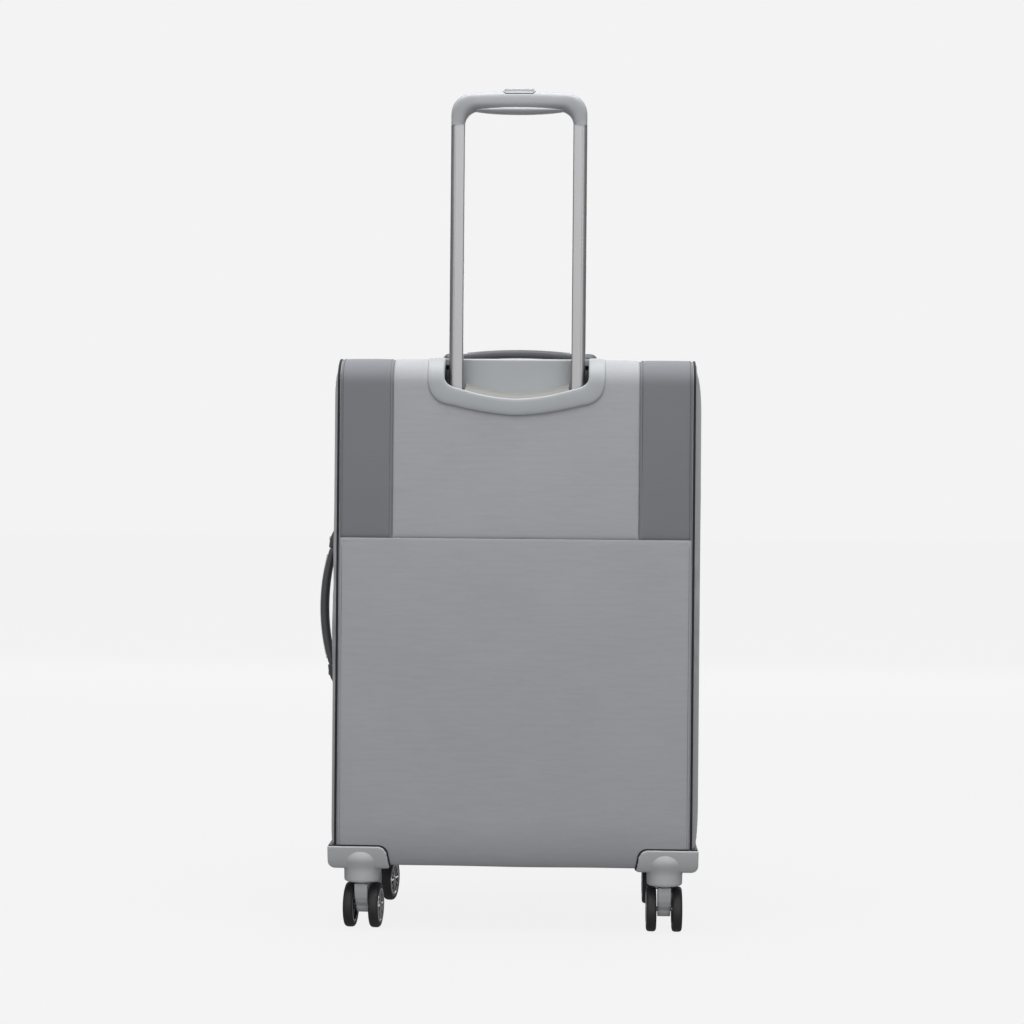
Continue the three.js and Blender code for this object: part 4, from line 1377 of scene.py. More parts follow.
def guard_shell(name, corner_name, sign, grown, proud, finish):
    """A shell over a bottom corner of the tray, grown upwards and inwards and standing proud of the cloth."""
    low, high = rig.box("corner_guard_" + corner_name)
    low, high = low.copy(), high.copy()
    if sign > 0:
        low.x -= 0.004 + grown
    else:
        high.x += 0.004 + grown
    thin = guard_proud - proud
    x_out, x_in = (high.x - thin, low.x) if sign > 0 else (low.x + thin, high.x)
    shell = prism(name, tray_outline(-proud, high.y - thin, 0.0025), low.x, high.x, across_width, finish)
    face = guard_face(x_out, x_in, bottom_z - proud - 0.0025, guard_top + grown, 0.012)
    cut(shell, prism("guard_face", face, low.y - 0.01, high.y + 0.01, through_depth, finish), "INTERSECT")
    middle = (low + high) / 2
    outline = rounded_rectangle((high.x - low.x) / 2, (high.y - low.y) / 2, 0.0016)
    plan = [(middle.x + across, middle.y + up) for across, up in outline]
    cut(shell, prism("guard_plan", plan, 0.05, 0.25, up_height, finish), "INTERSECT")
    cloth_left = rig.box("piping_left")[0].x - 0.0003
    cloth_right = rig.box("piping_right")[1].x + 0.0003
    cloth_edge = tray_outline(-0.0003, 0.12)
    cut(shell, prism("cloth_space", cloth_edge, cloth_left, cloth_right, across_width, finish))
    return shell


for corner_name, sign, caster_y in corners:
    shell = guard_shell("guard_" + corner_name, corner_name, sign, 0.0, guard_proud, guard_plastic)
    fused(shell, 0.0011, 3)
    shell.data.materials.clear()
    shell.data.materials.append(guard_plastic.material)
    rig.ride(shell, "case")
    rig.replaces(shell, "corner_guard_" + corner_name)
    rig.slot(shell, "grey_plastic")
    # A black strip a little wider than each guard is painted shadow: it draws the dark line of shade round the guard's
    # edge.
    gasket = guard_shell("guard_gasket_" + corner_name, corner_name, sign, 0.0016, 0.0012, black_plastic)
    gasket.data.set_sharp_from_angle(angle=math.radians(30))
    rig.ride(gasket, "case")
    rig.slot(gasket, "dark_plastic")

    caster_x = case_x + sign * caster_reach
    rings = []
    for radius, z in housing_profile:
        widened = 1 + 0.12 * min(max((z - 0.073) / 0.008, 0.0), 1.0)
        rings.append([Vector((caster_x + a * widened, caster_y + b, z)) for a, b in circle(radius, 64)])
    housing = piece("caster_housing_" + corner_name, *loft(rings, looped=True), guard_plastic)
    floor_room = rounded_rectangle(0.216, 0.0983, 0.002)
    room = [(case_x + across, up - 0.0012) for across, up in floor_room]
    cut(housing, prism("room_inside", room, 0.0850, 0.2, up_height, guard_plastic))
    housing.data.set_sharp_from_angle(angle=math.radians(45))
    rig.ride(housing, "case")
    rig.slot(housing, "grey_plastic")

# ---- Casters ------------------------------------------------------------------------------------
# Each caster is a swivelling fork between two wheels on one steel axle. A wheel is a black rubber
# tyre on a dark core, with a bright twelve-spoke disc pressed into its outer face.
tyre_rubber = moulded("black_tyre_rubber", tint(52, 52, 54), tint(38, 38, 40), 0.0009, 0.00008, roughness=0.6)
bright_rim = brushed("bright_wheel_disc", tint(206, 206, 208), tint(172, 172, 175), 0.30, (500, 500, 500))
fork_plastic = moulded("fork_moulded_plastic", tint(196, 198, 201), tint(184, 186, 189), roughness=0.48)
wheel_radius = 0.027
wheel_out = 0.0154
trail = 0.013
swivels = {"rear_left": -4, "rear_right": 0, "front_left": -9, "front_right": 0}


def softened(name, node, voxel, rounds, finish):
    """A moulding as its CAD solid, run into one skin with rounded edges."""
    mesh = frame["nodes"][node].data.copy()
    made = bpy.data.objects.new(name, mesh)
    scene.collection.objects.link(made)
    fused(made, voxel, rounds)
    made.data.materials.clear()
    made.data.materials.append(finish.material)
    made.data.polygons.foreach_set("use_smooth", [True] * len(made.data.polygons))
    return made


def turned(profile, count, place):
    """Points and faces of a closed profile of radius and length, turned about an axis."""
    rings = []
    for step in range(count):
        turn = math.tau * step / count
        out_x, out_y = math.cos(turn), math.sin(turn)
        rings.append([place(radius * out_x, radius * out_y, length) for radius, length in profile])
    return loft(rings, looped=True)


tyre_profile = [
    (0.0205, -0.0052), (0.0222, -0.0058), (0.0238, -0.0060), (0.0252, -0.0056), (0.0263, -0.0045),
    (0.0269, -0.0028), (0.0270, -0.0010), (0.0270, 0.0010), (0.0269, 0.0028), (0.0263, 0.0045),
    (0.0252, 0.0056), (0.0238, 0.0060), (0.0222, 0.0058), (0.0205, 0.0052), (0.0200, 0.0040),
    (0.0200, -0.0040),
]
core_profile = [
    (0.0029, -0.0046), (0.0060, -0.0050), (0.0065, -0.0034), (0.0180, -0.0030), (0.0199, -0.0046),
    (0.0201, -0.0038), (0.0201, 0.0030), (0.0192, 0.0026), (0.0029, 0.0022),
]
ring_profile = [
    (0.0172, 0.0024), (0.0172, 0.0052), (0.0178, 0.0060), (0.0190, 0.0063), (0.0201, 0.0060),
    (0.0206, 0.0050), (0.0204, 0.0024),
]
inner_ring_profile = [
    (0.0186, -0.0049), (0.0190, -0.0056), (0.0198, -0.0056), (0.0204, -0.0048), (0.0198, -0.0040),
]
cap_profile = [
    (0.0001, 0.0024), (0.0001, 0.0064), (0.0022, 0.0063), (0.0036, 0.0058), (0.0044, 0.0048),
    (0.0046, 0.0024),
]
spoke_count = 12
spoke_foot = 0.0026
spoke_stations = (
    (0.0038, 0.0008, 0.0054), (0.0075, 0.0008, 0.0056), (0.0130, 0.0011, 0.0058), (0.0178, 0.0017, 0.0058),
)


def spokes(place):
    """Tapered spokes from the hub cap out to the ring, each a bar with a raised back."""
    bars = []
    for number in range(spoke_count):
        turn = math.tau * number / spoke_count
        out_x, out_y = math.cos(turn), math.sin(turn)
        rings = []
        for radius, half, top in spoke_stations:
            right = [(half * 0.4, top), (half, top - 0.0006), (half, spoke_foot)]
            section = [(-across, out) for across, out in right[::-1]] + right
            rings.append([
                place(radius * out_x - across * out_y, radius * out_y + across * out_x, out)
                for across, out in section
            ])
        bars.append(loft(rings))
    return together(*bars)


def wheel_place(centre, swivel, outward):
    """Turns a wheel's own across, up and outward lengths into a place, for a caster that has swivelled."""
    def place(across, up, length):
        local = Vector((outward * (wheel_out + length), trail + across, wheel_radius + up))
        return centre + Matrix.Rotation(swivel, 3, "Z") @ local

    return place


for corner_name, sign, caster_y in corners:
    centre = Vector((case_x + sign * caster_reach, caster_y, 0))
    swivel = math.radians(swivels[corner_name])
    fork = softened("caster_fork_" + corner_name, "fork_" + corner_name, 0.0007, 3, fork_plastic)
    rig.ride(fork, "caster_" + corner_name)
    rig.replaces(fork, "fork_" + corner_name)
    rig.slot(fork, "grey_plastic")
    frame["nodes"]["axle_" + corner_name].data.materials[0] = steel.material
    for letter, outward in (("a", -1), ("b", 1)):
        place = wheel_place(centre, swivel, outward)
        wheel_name = corner_name + "_" + letter
        tyre = piece("tyre_" + wheel_name, *turned(tyre_profile, 72, place), tyre_rubber)
        core = piece("wheel_core_" + wheel_name, *turned(core_profile, 48, place), black_plastic, 35)
        outer_parts = together(turned(ring_profile, 60, place), turned(cap_profile, 32, place), spokes(place))
        bright_parts = together(outer_parts, turned(inner_ring_profile, 60, place))
        disc = piece("wheel_disc_" + wheel_name, *bright_parts, bright_rim, 35)
        for made, slot in ((tyre, "wheel_tyre"), (core, "dark_plastic"), (disc, "steel")):
            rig.ride(made, "wheel_" + wheel_name)
            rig.slot(made, slot)
        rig.replaces(tyre, "wheel_" + wheel_name)

# ---- Main zip -----------------------------------------------------------------------------------
# A coil zip runs round three sides between the tray and the lid. Each half is a woven tape with a
# row of nylon coil teeth. Two metal sliders meet on its top stretch, each with a hinged pull.
zip_tape = woven("zip_tape_weave", tint(62, 63, 66), tint(44, 45, 48), 0.0007, 0.00015, slub=0.15)
coil_nylon = moulded("zip_coil_nylon", tint(74, 75, 78), tint(56, 57, 60), roughness=0.38)
pull_metal = brushed("zip_pull_metal", tint(168, 170, 173), tint(138, 140, 143), 0.32, (400, 400, 400))
rim_low, rim_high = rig.box("lid_shell")
rim_middle = (rim_low + rim_high) / 2
rim_half_x = (rim_high.x - rim_low.x) / 2
rim_half_z = (rim_high.z - rim_low.z) / 2
rim_round = 0.010
zip_y = 0.0955


def rim_point(across, up, y):
    return Vector((rim_middle.x + across, y, rim_middle.z + up))


def three_sides(inset, y):
    """The zip's way: from the hinge side along the bottom, up the far side, and back along the top."""
    outline = rounded_rectangle(rim_half_x - inset, rim_half_z - inset, rim_round - inset, 6)
    right_top, left_top, left_bottom, right_bottom = (outline[count * 7:count * 7 + 7] for count in range(4))
    way = [right_bottom[0]] + left_bottom[::-1] + left_top[::-1] + [right_top[-1]]
    return [rim_point(across, up, y) for across, up in way]


def outward_from_rim(place):
    """Straight out of the suitcase's outline at a place on its rim."""
    across = place.x - rim_middle.x
    up = place.z - rim_middle.z
    inner_x = max(-rim_half_x + rim_round, min(across, rim_half_x - rim_round))
    inner_z = max(-rim_half_z + rim_round, min(up, rim_half_z - rim_round))
    away = Vector((across - inner_x, 0, up - inner_z))
    return away.normalized() if away.length > 1e-6 else Vector((0, 0, 1))


def finely(points, pitch):
    """The same row of points with places no further apart than a pitch, corners kept."""
    fine = []
    for here, there in zip(points, points[1:]):
        count = max(1, math.ceil((there - here).length / pitch))
        fine += [here.lerp(there, step / count) for step in range(count)]
    return fine + [points[-1]]


tape_section = [
    (-0.0016, -0.0014), (-0.0016, -0.0003), (-0.0012, 0.0), (0.0012, 0.0), (0.0016, -0.0003),
    (0.0016, -0.0014),
]
tooth_pitch = 0.0016
tooth_profile = ((0.00008, 0.5), (0.00035, 1.0), (0.0016, 0.85), (0.0020, 0.4))


def tooth(middle, along, rise, across, radius, profile):
    """One tooth of a coil, lying across its zip. The profile gives its reach and its fatness."""
    rings = []
    for reach, fat in profile:
        centre = middle + across * reach
        rings.append([centre + along * a * fat + rise * (b * fat + 0.0003) for a, b in circle(radius, 6)])
    return loft(rings)


for body, y, way in (("case", 0.0936, -1), ("lid", 0.0974, 1)):
    route = finely(three_sides(0.0010, y), 0.02)
    tape_rings = swept(route, tape_section, lambda index: outward_from_rim(route[index]))
    tape = wound("zip_tape_" + body + "_band", tape_rings, zip_tape)
    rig.ride(tape, body)
    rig.replaces(tape, "zip_tape_" + body)
    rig.slot(tape, "zip_tape")
    shapes = []
    for place, along in at_each(finely(three_sides(0.0011, zip_y), 0.02), tooth_pitch):
        middle = place + along * (tooth_pitch / 4 * way)
        rise = outward_from_rim(place)
        shapes.append(tooth(middle, along, rise, Vector((0, way, 0)), 0.00062, tooth_profile))
    teeth = piece("zip_coil_" + body, *together(*shapes), coil_nylon)
    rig.ride(teeth, body)
    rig.slot(teeth, "zip_tape")

for side, sign in sides:
    for kind in ("slider", "pull"):
        node = "zip_" + kind + "_" + side
        made = softened(node + "_cast", node, 0.0003, 2, pull_metal)
        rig.ride(made, kind + "_" + side)
        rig.replaces(made, node)
        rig.slot(made, "zip_metal")

strip_near, strip_far = 0.0902, 0.1008
strip_depths = np.linspace(strip_near, strip_far, 12)
strip_heights = np.linspace(rim_low.z + 0.0095, rim_high.z - 0.0095, 80)
hinge_x = rim_high.x


def strip_skin(rise):
    """The cloth strip that the lid hinges on, bowed outwards between its two edges."""
    bows = [0.0012 * math.sin(math.pi * (y - strip_near) / (strip_far - strip_near)) for y in strip_depths]
    return [
        [Vector((hinge_x + rise + bow, y, z)) for bow, y in zip(bows, strip_depths)]
        for z in strip_heights
    ]


strip = piece("lid_hinge_strip", *slab(strip_skin(0.0010), strip_skin(0.0001)), dark_cloth)
lay_weave(strip, [(vertex.co.y, vertex.co.z) for vertex in strip.data.vertices])
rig.blend(strip, "case", "lid", start=(hinge_x, 0.0920, 0.385), end=(hinge_x, 0.0990, 0.385))
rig.slot(strip, "dark_fabric")

# ---- Lid ----------------------------------------------------------------------------------------
# The lid is a shallow tray: a stiff board behind light cloth, a padded rim, and dark piping round
# its front edge, with a row of stitching on each side of the piping.


def rim_loop(inset, y):
    """A closed loop round the lid, set in by a width."""
    outline = rounded_rectangle(rim_half_x, rim_half_z, rim_round, 6)
    loop = [rim_point(across, up, y) for across, up in outline]
    return [place - outward_from_rim(place) * inset for place in finely(loop + loop[:1], 0.008)[:-1]]


rim_back = 0.0989
rim_front = 0.1172
rim_profile = [(0.0, rim_back)]
for share in np.linspace(0.08, 0.92, 8):
    rim_profile.append((-0.0008 * math.sin(math.pi * share), rim_back + (rim_front - rim_back) * share))
rim_profile += [(0.0006, rim_front), (0.0026, rim_front)]
rim_profile += [(0.0028, (rim_back + rim_front) / 2), (0.0026, rim_back)]
rim_rings = [rim_loop(inset, y) for inset, y in rim_profile]
rim = piece("lid_rim_cloth", *loft(rim_rings, looped=True), light_cloth, 60)
rim_steps = [(there - here).length for here, there in zip(rim_rings[0], rim_rings[0][1:])]
rim_lengths = np.cumsum([0.0] + rim_steps)
rim_places = enumerate(rim.data.vertices)
lay_weave(rim, [(vertex.co.y, rim_lengths[index % len(rim_lengths)]) for index, vertex in rim_places])
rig.ride(rim, "lid")
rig.replaces(rim, "lid_shell")
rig.slot(rim, "light_fabric")


def rounded_rows(half_x, half_z, radius, columns, rows):
    """A grid over a rectangle with round corners: rows of across and up, with shares from -1 to 1."""
    grid = []
    for share in rows:
        up = share * half_z
        end = half_z - abs(up)
        reach = half_x - radius + math.sqrt(max(radius**2 - max(radius - end, 0.0) ** 2, 0.0))
        grid.append([(column * reach, up, min(reach - abs(column) * reach, end)) for column in columns])
    return grid


def shares_of(half, pitch, seams=()):
    """Shares from -1 to 1, closer together beside the edges and beside each seam."""
    marks = [-half, *seams, half]
    places = []
    for low, high in zip(marks, marks[1:]):
        places += [place / half for place in stations(low, high, pitch)][1 if places else 0:]
    return places


face_half_x = rim_half_x - 0.0030
face_half_z = rim_half_z - 0.0030
face_shares = [shares_of(half, 0.008) for half in (face_half_x, face_half_z)]
face_y = 0.1190
outer, inner = [], []
for row in rounded_rows(face_half_x, face_half_z, 0.008, *face_shares):
    outer.append([
        rim_point(across, up, face_y + drawn_in(max(edge, 0.0), 0.0012)) for across, up, edge in row
    ])
    inner.append([rim_point(across, up, face_y - 0.0030) for across, up, edge in row])
face_cloth = piece("lid_face_cloth", *slab(outer, inner), light_cloth)
lay_weave(face_cloth, [(vertex.co.x, vertex.co.z) for vertex in face_cloth.data.vertices])
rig.ride(face_cloth, "lid")
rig.slot(face_cloth, "light_fabric")

cord_rings = swept(rim_loop(0.0017, 0.1182), circle(cord_radius, 12), (0, 1, 0), looped=True)
cord = wound("lid_piping_cord", cord_rings, piping_cloth, looped=True)
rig.ride(cord, "lid")
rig.slot(cord, "dark_fabric")
for name, row, out in (
    ("lid_rim_stitching", rim_loop(-0.0006, 0.1128), outward_from_rim),
    ("lid_face_stitching", rim_loop(0.0072, 0.1197), (0, 1, 0)),
):
    stitches = stitching(name, row + row[:1], out, grey_thread)
    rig.ride(stitches, "lid")

# ---- Lid pockets --------------------------------------------------------------------------------
# Two padded pockets are sewn to the face of the lid, the lower one deeper. The upper one repeats
# the dark side panels of the back. Each opens with a zip let into its face near its top edge.
pocket_tooth = ((-0.0004, 0.6), (0.0, 1.0), (0.0012, 0.9), (0.0016, 0.4))
zip_strips = (
    ("upper_tape", 0.0011, 0.0075, zip_tape, 0.0007), ("lower_tape", -0.0075, -0.0011, zip_tape, 0.0007),
    ("flap", 0.0028, 0.0100, light_cloth, 0.0022),
)


def pocket_zip(name, middle_x, zip_z, zip_half, on_pocket):
    """A pocket's zip: two tapes under a flap, the coil between them, and the slider with its pull."""
    for strip, z_low, z_high, finish, rise in zip_strips:
        skins = []
        for extra in (0.0, -0.0008):
            skin = []
            for x in np.linspace(middle_x - zip_half, middle_x + zip_half, 70):
                row = []
                for z in np.linspace(zip_z + z_low, zip_z + z_high, 6):
                    sewn_down = min(1.0, 0.35 + (zip_z + z_high - z) / 0.004) if strip == "flap" else 1.0
                    row.append(on_pocket(x, z, extra + rise * sewn_down))
                skin.append(row)
            skins.append(skin)
        band = piece(name + "_zip_" + strip, *slab(*skins), finish)
        lay_weave(band, [(vertex.co.z, vertex.co.x) for vertex in band.data.vertices])
        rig.ride(band, "lid")
        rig.slot(band, "zip_tape" if finish is zip_tape else "light_fabric")
    coil_places = np.linspace(middle_x - zip_half, middle_x + zip_half, 90)
    coil_path = [on_pocket(x, zip_z, 0.0006) for x in coil_places]
    shapes = []
    for place, along in at_each(coil_path, tooth_pitch):
        for way in (-1, 1):
            middle = place + along * (way * tooth_pitch / 4)
            shapes.append(tooth(middle, along, Vector((0, 1, 0)), Vector((0, 0, way)), 0.0006, pocket_tooth))
    coil = piece(name + "_zip_coil", *together(*shapes), coil_nylon)
    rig.ride(coil, "lid")
    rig.slot(coil, "zip_tape")
    spot = on_pocket(middle_x + zip_half - 0.012, zip_z, 0.0016)
    slider_shape = rounded_rectangle(0.0055, 0.0040, 0.0018)
    slider_rings = [
        [spot + Vector((across * fat, rise, up * fat)) for across, up in slider_shape]
        for rise, fat in ((-0.0012, 0.94), (-0.0008, 1.0), (0.0008, 1.0), (0.0013, 0.93))
    ]
    bridge_shape = rounded_rectangle(0.0022, 0.0012, 0.0006)
    bridge_rings = [
        [spot + Vector((across, rise, up)) for across, up in bridge_shape]
        for rise in (0.0010, 0.0034)
    ]
    slider = piece(name + "_zip_slider", *together(loft(slider_rings), loft(bridge_rings)), pull_metal, 40)
    tab_shape = [(across, up - 0.0175) for across, up in rounded_rectangle(0.0034, 0.0180, 0.0026)]
    tab_rings = [
        [spot + Vector((across * fat, rise, up * fat - 0.0004)) for across, up in tab_shape]
        for rise, fat in ((0.0024, 0.96), (0.0027, 1.0), (0.0037, 1.0), (0.0041, 0.95))
    ]
    tab = piece(name + "_zip_pull", *loft(tab_rings), pull_metal, 40)
    for part in (slider, tab):
        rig.ride(part, "lid")
        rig.slot(part, "zip_metal")


def pocket(name, node, dark_from, zip_drop, fullness):
    """A padded pocket with its binding and its zip, and seams where dark side panels begin."""
    low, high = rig.box(node)
    middle = (low + high) / 2
    half_x = (high.x - low.x) / 2
    half_z = (high.z - low.z) / 2
    deep = high.y - low.y
    seams = [-dark_from, dark_from] if dark_from else []
    rows = rounded_rows(half_x, half_z, 0.018, shares_of(half_x, 0.0065, seams), shares_of(half_z, 0.0065))
    outer, inner = [], []
    for row in rows:
        out_row, in_row = [], []
        row_half = max(across for across, up, edge in row)
        for across, up, edge in row:
            if dark_from:
                straight = across / row_half * half_x
                squeeze = (row_half - dark_from) / (half_x - dark_from)
                beyond = max(abs(straight) - dark_from, 0.0)
                across = math.copysign(abs(straight) - beyond + beyond * squeeze, across)
            inward = max(edge, 0.0)
            rise = (deep - 0.0035) * rounding(inward, 0.015) + fullness * (1 - math.exp(-inward / 0.05))
            if dark_from:
                rise -= 0.0012 * math.exp(-abs(abs(across) - dark_from) / 0.0012)
            rise += 0.0008 * noise.noise(Vector((across * 14, up * 11, deep * 90)))
            out_row.append(Vector((middle.x + across, low.y + 0.0006 + rise, middle.z + up)))
            in_row.append(Vector((middle.x + across, low.y, middle.z + up)))
        outer.append(out_row[::-1])
        inner.append(in_row[::-1])
    outer = filled(outer, 1.6, 0.0022)
    made = piece(name, *slab(outer, inner), light_cloth)
    if dark_from:
        made.data.materials.append(dark_cloth.material)
        edges = zip(inner[0], inner[0][1:])
        dark = [abs(here.x + there.x - 2 * middle.x) > 2 * dark_from for here, there in edges]
        sewn = 2 * (len(inner) - 1) * len(dark)
        for polygon in made.data.polygons:
            is_dark = abs(polygon.center.x - middle.x) > dark_from
            polygon.material_index = int(dark[polygon.index % len(dark)] if polygon.index < sewn else is_dark)
    lay_weave(made, [(vertex.co.x, vertex.co.z) for vertex in made.data.vertices])
    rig.ride(made, "lid")
    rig.replaces(made, node)
    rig.slot(made, "light_fabric")
    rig.padded(made, 0.6)
    tree = BVHTree.FromObject(made, bpy.context.evaluated_depsgraph_get())

    def on_pocket(x, z, lift):
        place, out, *_ = tree.ray_cast(Vector((x, high.y + 0.05, z)), Vector((0, -1, 0)))
        return place + out * lift

    outline = rounded_rectangle(half_x - 0.0001, half_z - 0.0001, 0.018, 8)
    base_row = [Vector((middle.x + across, low.y + 0.0010, middle.z + up)) for across, up in outline]
    welt = finely(base_row + base_row[:1], 0.008)[:-1]
    binding_rings = swept(welt, circle(0.0013, 10), (0, 1, 0), looped=True)
    binding = wound(name + "_binding", binding_rings, piping_cloth, looped=True)
    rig.ride(binding, "lid")
    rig.slot(binding, "dark_fabric")
    pocket_zip(name, middle.x, high.z - zip_drop, half_x - 0.030, on_pocket)
    if dark_from:
        for side, sign in sides:
            seam_x = middle.x + sign * (dark_from + 0.0032)
            row = [on_pocket(seam_x, z, 0.0003) for z in np.arange(low.z + 0.016, high.z - 0.016, 0.004)]
            seam = stitching(name + "_seam_" + side, row, (0, 1, 0), dark_thread)
            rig.ride(seam, "lid")


pocket("lid_pocket_lower", "front_pocket_lower", None, 0.034, 0.0030)
pocket("lid_pocket_upper", "front_pocket_upper", 0.127, 0.030, 0.0020)

# ---- Lining -------------------------------------------------------------------------------------
# The tray is lined with thin dark taffeta, glued to the board and loose enough to ripple. Two
# webbing straps with a buckle hold the clothes down against the back.
taffeta = woven("lining_taffeta", tint(94, 96, 100), tint(78, 80, 84), 0.0005, 0.00006, 0.15, 0.7, sheen=0.3)
shell_near, shell_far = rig.box("frame_shell")
inside_left = shell_near.x + 0.0034
inside_right = shell_far.x - 0.0034
lining_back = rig.box("back_lining")[1].y + 0.0003
lining_front = tray_y - 0.0006
shell_low = shell_near.z + 0.0034
shell_high = shell_far.z - 0.0034
corner_round = 0.012


def tub_route(inset):
    """The lining's way round the tray as depth and height: along the bottom, up the back, over the top."""
    low, high, back = shell_low + inset, shell_high - inset, lining_back + inset
    turns = np.linspace(0, math.pi / 2, 6)[1:]
    bends = [(corner_round * (1 - math.sin(turn)), corner_round * (1 - math.cos(turn))) for turn in turns]
    floor_deep = lining_front - back - corner_round
    route = [(lining_front - share * floor_deep, low) for share in np.linspace(0, 1, 14)]
    route += [(back + near, low + far) for near, far in bends]
    route += [(back, z) for z in np.linspace(low + corner_round, high - corner_round, 60)[1:]]
    route += [(back + far, high - near) for near, far in bends]
    route += [(y, high) for y in np.linspace(back + corner_round, lining_front, 14)[1:]]
    return route


def loosely(edge, ripple, place):
    """How far the lining stands off its board, by the distance to its nearest glued edge."""
    return ripple * (0.5 + 0.5 * noise.noise(Vector(place))) * min(max(edge, 0.0) / 0.02, 1.0)


def tub_skin(inset, ripple):
    outline = tub_route(inset)
    middle_y = (lining_back + lining_front) / 2
    middle_z = (shell_low + shell_high) / 2
    grid = []
    for y, z in outline:
        row = []
        for x in np.linspace(inside_left, inside_right, 90):
            bump = loosely(min(x - inside_left, inside_right - x), ripple, (x * 26, y * 30, z * 9))
            toward = Vector((0, middle_y - y, middle_z - z)).normalized()
            row.append(Vector((x, y, z)) + toward * bump)
        grid.append(row)
    return grid


tub = piece("tray_lining", *slab(tub_skin(0.0005, 0.0016), tub_skin(0.0, 0.0)), taffeta)
lay_weave(tub, [(vertex.co.x, vertex.co.y + vertex.co.z) for vertex in tub.data.vertices])
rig.ride(tub, "case")
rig.replaces(tub, "back_lining")
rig.slot(tub, "lining")
for side, sign in sides:
    wall_x = inside_right if sign > 0 else inside_left
    grids = []
    for lift, ripple in ((0.0007, 0.0016), (0.0, 0.0)):
        grid = []
        for z in np.linspace(shell_low + 0.0004, shell_high - 0.0004, 80):
            row = []
            for y in np.linspace(lining_back + 0.0004, lining_front, 30):
                edge = min(z - shell_low, shell_high - z, y - lining_back)
                bump = loosely(edge, ripple, (y * 26, z * 12, 4.0 + sign))
                row.append(Vector((wall_x - sign * (lift + bump), y, z)))
            grid.append(row)
        grids.append(grid)
    wall = piece("side_lining_" + side, *slab(*grids), taffeta)
    lay_weave(wall, [(vertex.co.y, vertex.co.z) for vertex in wall.data.vertices])
    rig.ride(wall, "case")
    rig.slot(wall, "lining")
    binding_x = wall_x - sign * 0.0006
    binding_path = [Vector((binding_x, lining_front, z)) for z in np.linspace(shell_low, shell_high, 40)]
    binding_rings = swept(binding_path, circle(0.0014, 10), (sign, 0, 0))
    binding = wound("mouth_binding_" + side, binding_rings, piping_cloth)
    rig.ride(binding, "case")
    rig.slot(binding, "dark_fabric")
for level, z in (("low", shell_low + 0.0006), ("high", shell_high - 0.0006)):
    binding_path = [Vector((x, lining_front, z)) for x in np.linspace(inside_left, inside_right, 40)]
    binding_rings = swept(binding_path, circle(0.0014, 10), (0, 0, 1))
    binding = wound("mouth_binding_" + level, binding_rings, piping_cloth)
    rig.ride(binding, "case")
    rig.slot(binding, "dark_fabric")

mouth_middle = (shell_near + shell_far) / 2
mouth_half_x = (shell_far.x - shell_near.x) / 2
mouth_half_z = (shell_far.z - shell_near.z) / 2
mouth_profile = (
    (0.0018, 0.0916), (0.0018, 0.0928), (0.0010, 0.0934), (-0.0030, 0.0934), (-0.0046, 0.0930),
    (-0.0046, 0.0916),
)
mouth_rings = []
for grow, y in mouth_profile:
    outline = rounded_rectangle(mouth_half_x + grow, mouth_half_z + grow, max(0.006 + grow, 0.0015), 6)
    mouth_rings.append([Vector((mouth_middle.x + across, y, mouth_middle.z + up)) for across, up in outline])
mouth_tape = wound("mouth_tape", mouth_rings, zip_tape, looped=True)
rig.ride(mouth_tape, "case")
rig.slot(mouth_tape, "dark_fabric")

strap_wide = 0.0125
strap_y = lining_back + 0.0042
for strap_name, z in (("upper", 0.50), ("lower", 0.27)):
    path = []
    for share in np.linspace(0, 1, 50):
        x = inside_left + 0.002 + (inside_right - inside_left - 0.004) * share
        sag = 0.012 * math.sin(math.pi * share)
        path.append(Vector((x, strap_y + 0.0012 * math.sin(share * 9.0) + 0.0018, z - sag)))
    section = [(across, up) for across, up in oval(strap_wide, 0.0008, 6, 20)]
    strap = wound("packing_strap_" + strap_name, swept(path, section, (0, 1, 0)), webbing)
    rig.ride(strap, "case")
    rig.slot(strap, "dark_fabric")
    middle = path[25]
    halves = []
    for sign in (-1, 1):
        shape = [(across + sign * 0.0135, up) for across, up in rounded_rectangle(0.0125, 0.0155, 0.004)]
        halves.append(loft([
            [middle + Vector((across, rise, up * fat)) for across, up in shape]
            for rise, fat in ((0.0004, 0.96), (0.0010, 1.0), (0.0052, 1.0), (0.0060, 0.94))
        ]))
        prong = [(across + sign * 0.0095, up) for across, up in rounded_rectangle(0.009, 0.0035, 0.0015)]
        halves.append(loft([
            [middle + Vector((across, rise, up)) for across, up in prong] for rise in (0.0052, 0.0068)
        ]))
    buckle = piece("strap_buckle_" + strap_name, *together(*halves), black_plastic, 40)
    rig.ride(buckle, "case")
    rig.slot(buckle, "dark_plastic")

# ---- Lid lining ---------------------------------------------------------------------------------
# The same taffeta covers the inside of the lid, with a flat pocket of the cloth and a zip across
# its top.
lid_inside_y = 0.1154
grids = []
for lift, ripple in ((0.0, 0.0010), (0.0006, 0.0)):
    grid = []
    for z in np.linspace(rim_low.z + 0.0032, rim_high.z - 0.0032, 70):
        row = []
        for x in np.linspace(rim_low.x + 0.0032, rim_high.x - 0.0032, 50):
            edge = min(x - rim_low.x, rim_high.x - x, z - rim_low.z, rim_high.z - z) - 0.0032
            row.append(Vector((x, lid_inside_y + lift - loosely(edge, ripple, (x * 20, z * 16, 8.0)), z)))
        grid.append(row)
    grids.append(grid)
lid_lining = piece("lid_lining", *slab(*grids), taffeta)
lay_weave(lid_lining, [(vertex.co.x, vertex.co.z) for vertex in lid_lining.data.vertices])
inner_left, inner_right = rim_low.x + 0.020, rim_high.x - 0.020
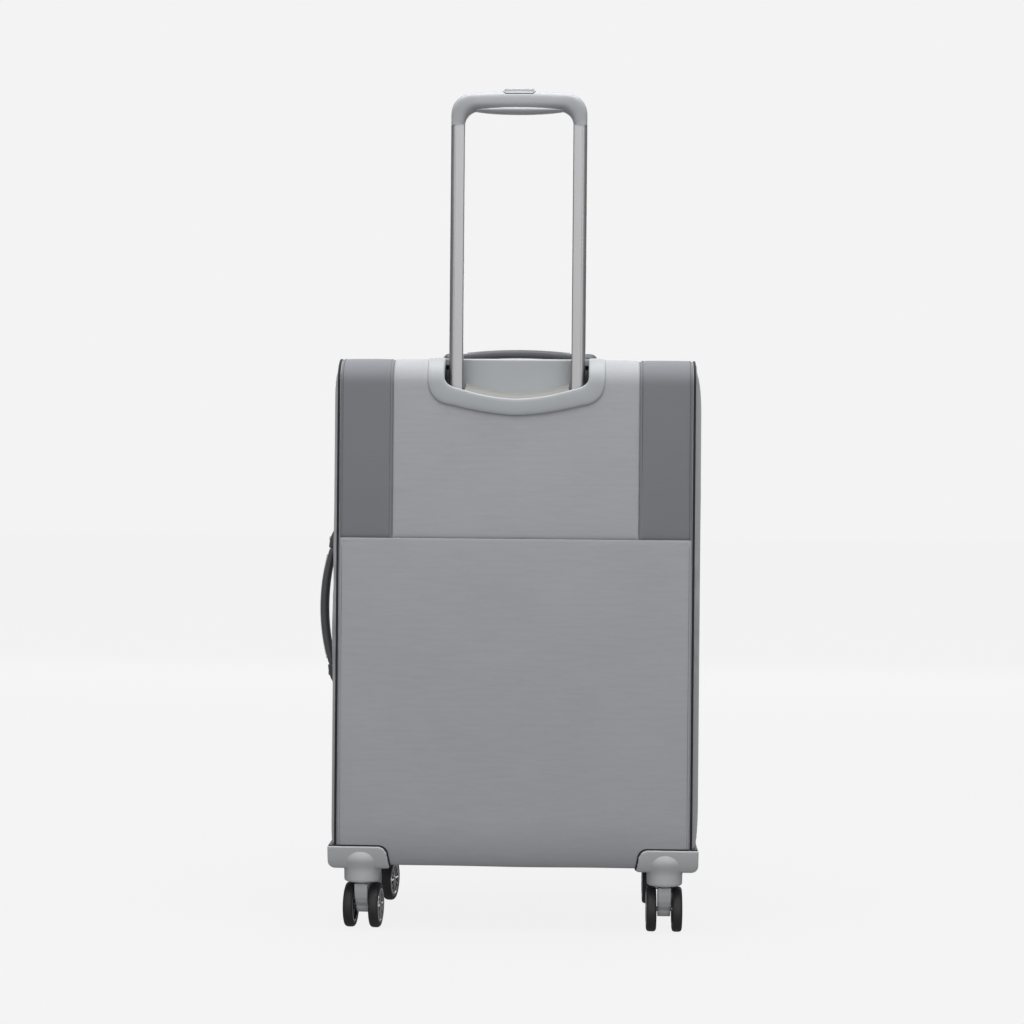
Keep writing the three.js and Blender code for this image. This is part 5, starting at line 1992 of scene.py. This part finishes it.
inner_low, inner_high = 0.115, 0.50
pocket_grids = []
for lift in (0.0, 0.0008):
    grid = []
    for z in np.linspace(inner_low, inner_high, 50):
        row = []
        for x in np.linspace(inner_left, inner_right, 50):
            edge = min(x - inner_left, inner_right - x, z - inner_low, inner_high - z)
            ripple = 0.0010 * noise.noise(Vector((x * 16, z * 14, 2.0))) * min(edge / 0.02, 1.0)
            belly = 0.0040 * (1 - math.exp(-edge / 0.03)) + ripple
            row.append(Vector((x, lid_inside_y - 0.0016 + lift - belly, z)))
        grid.append(row)
    pocket_grids.append(grid)
lid_pocket = piece("lid_inner_pocket", *slab(*pocket_grids), taffeta)
lay_weave(lid_pocket, [(vertex.co.x, vertex.co.z) for vertex in lid_pocket.data.vertices])
for made in (lid_lining, lid_pocket):
    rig.ride(made, "lid")
    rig.slot(made, "lining")
zip_places = np.linspace(rim_low.x + 0.022, rim_high.x - 0.022, 60)
zip_row = [Vector((x, lid_inside_y - 0.0026, inner_high + 0.0035)) for x in zip_places]
tape_rings = swept(zip_row, [(across, up) for across, up in oval(0.0065, 0.0007, 5, 16)], (0, -1, 0))
inner_tape = wound("lid_inner_zip_tape", tape_rings, zip_tape)
coil_row = [place + Vector((0, -0.0010, 0)) for place in zip_row]
inner_coil = stitching("lid_inner_zip_coil", coil_row, (0, -1, 0), coil_nylon, pitch=0.0017, thread=0.0009)
for made in (inner_tape, inner_coil):
    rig.ride(made, "lid")
    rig.slot(made, "zip_tape")

# ---- Hidden frame pieces ------------------------------------------------------------------------
# The bent board, the bracket under the outer tubes, and the guides stay as their CAD solids. The
# board is a grey pressed fibre, and the bracket is moulded in black.
board = moulded("grey_board", tint(206, 205, 200), tint(188, 187, 182), 0.0012, 0.00005, roughness=0.7)
frame["nodes"]["frame_shell"].data.materials[0] = board.material
frame["nodes"]["trolley_foot"].data.materials[0] = black_plastic.material

with open("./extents.json", "w") as sizes:
    json.dump({"cad": [list(c) for c in cad_box], "visual": [list(c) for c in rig.bounds()]}, sizes)
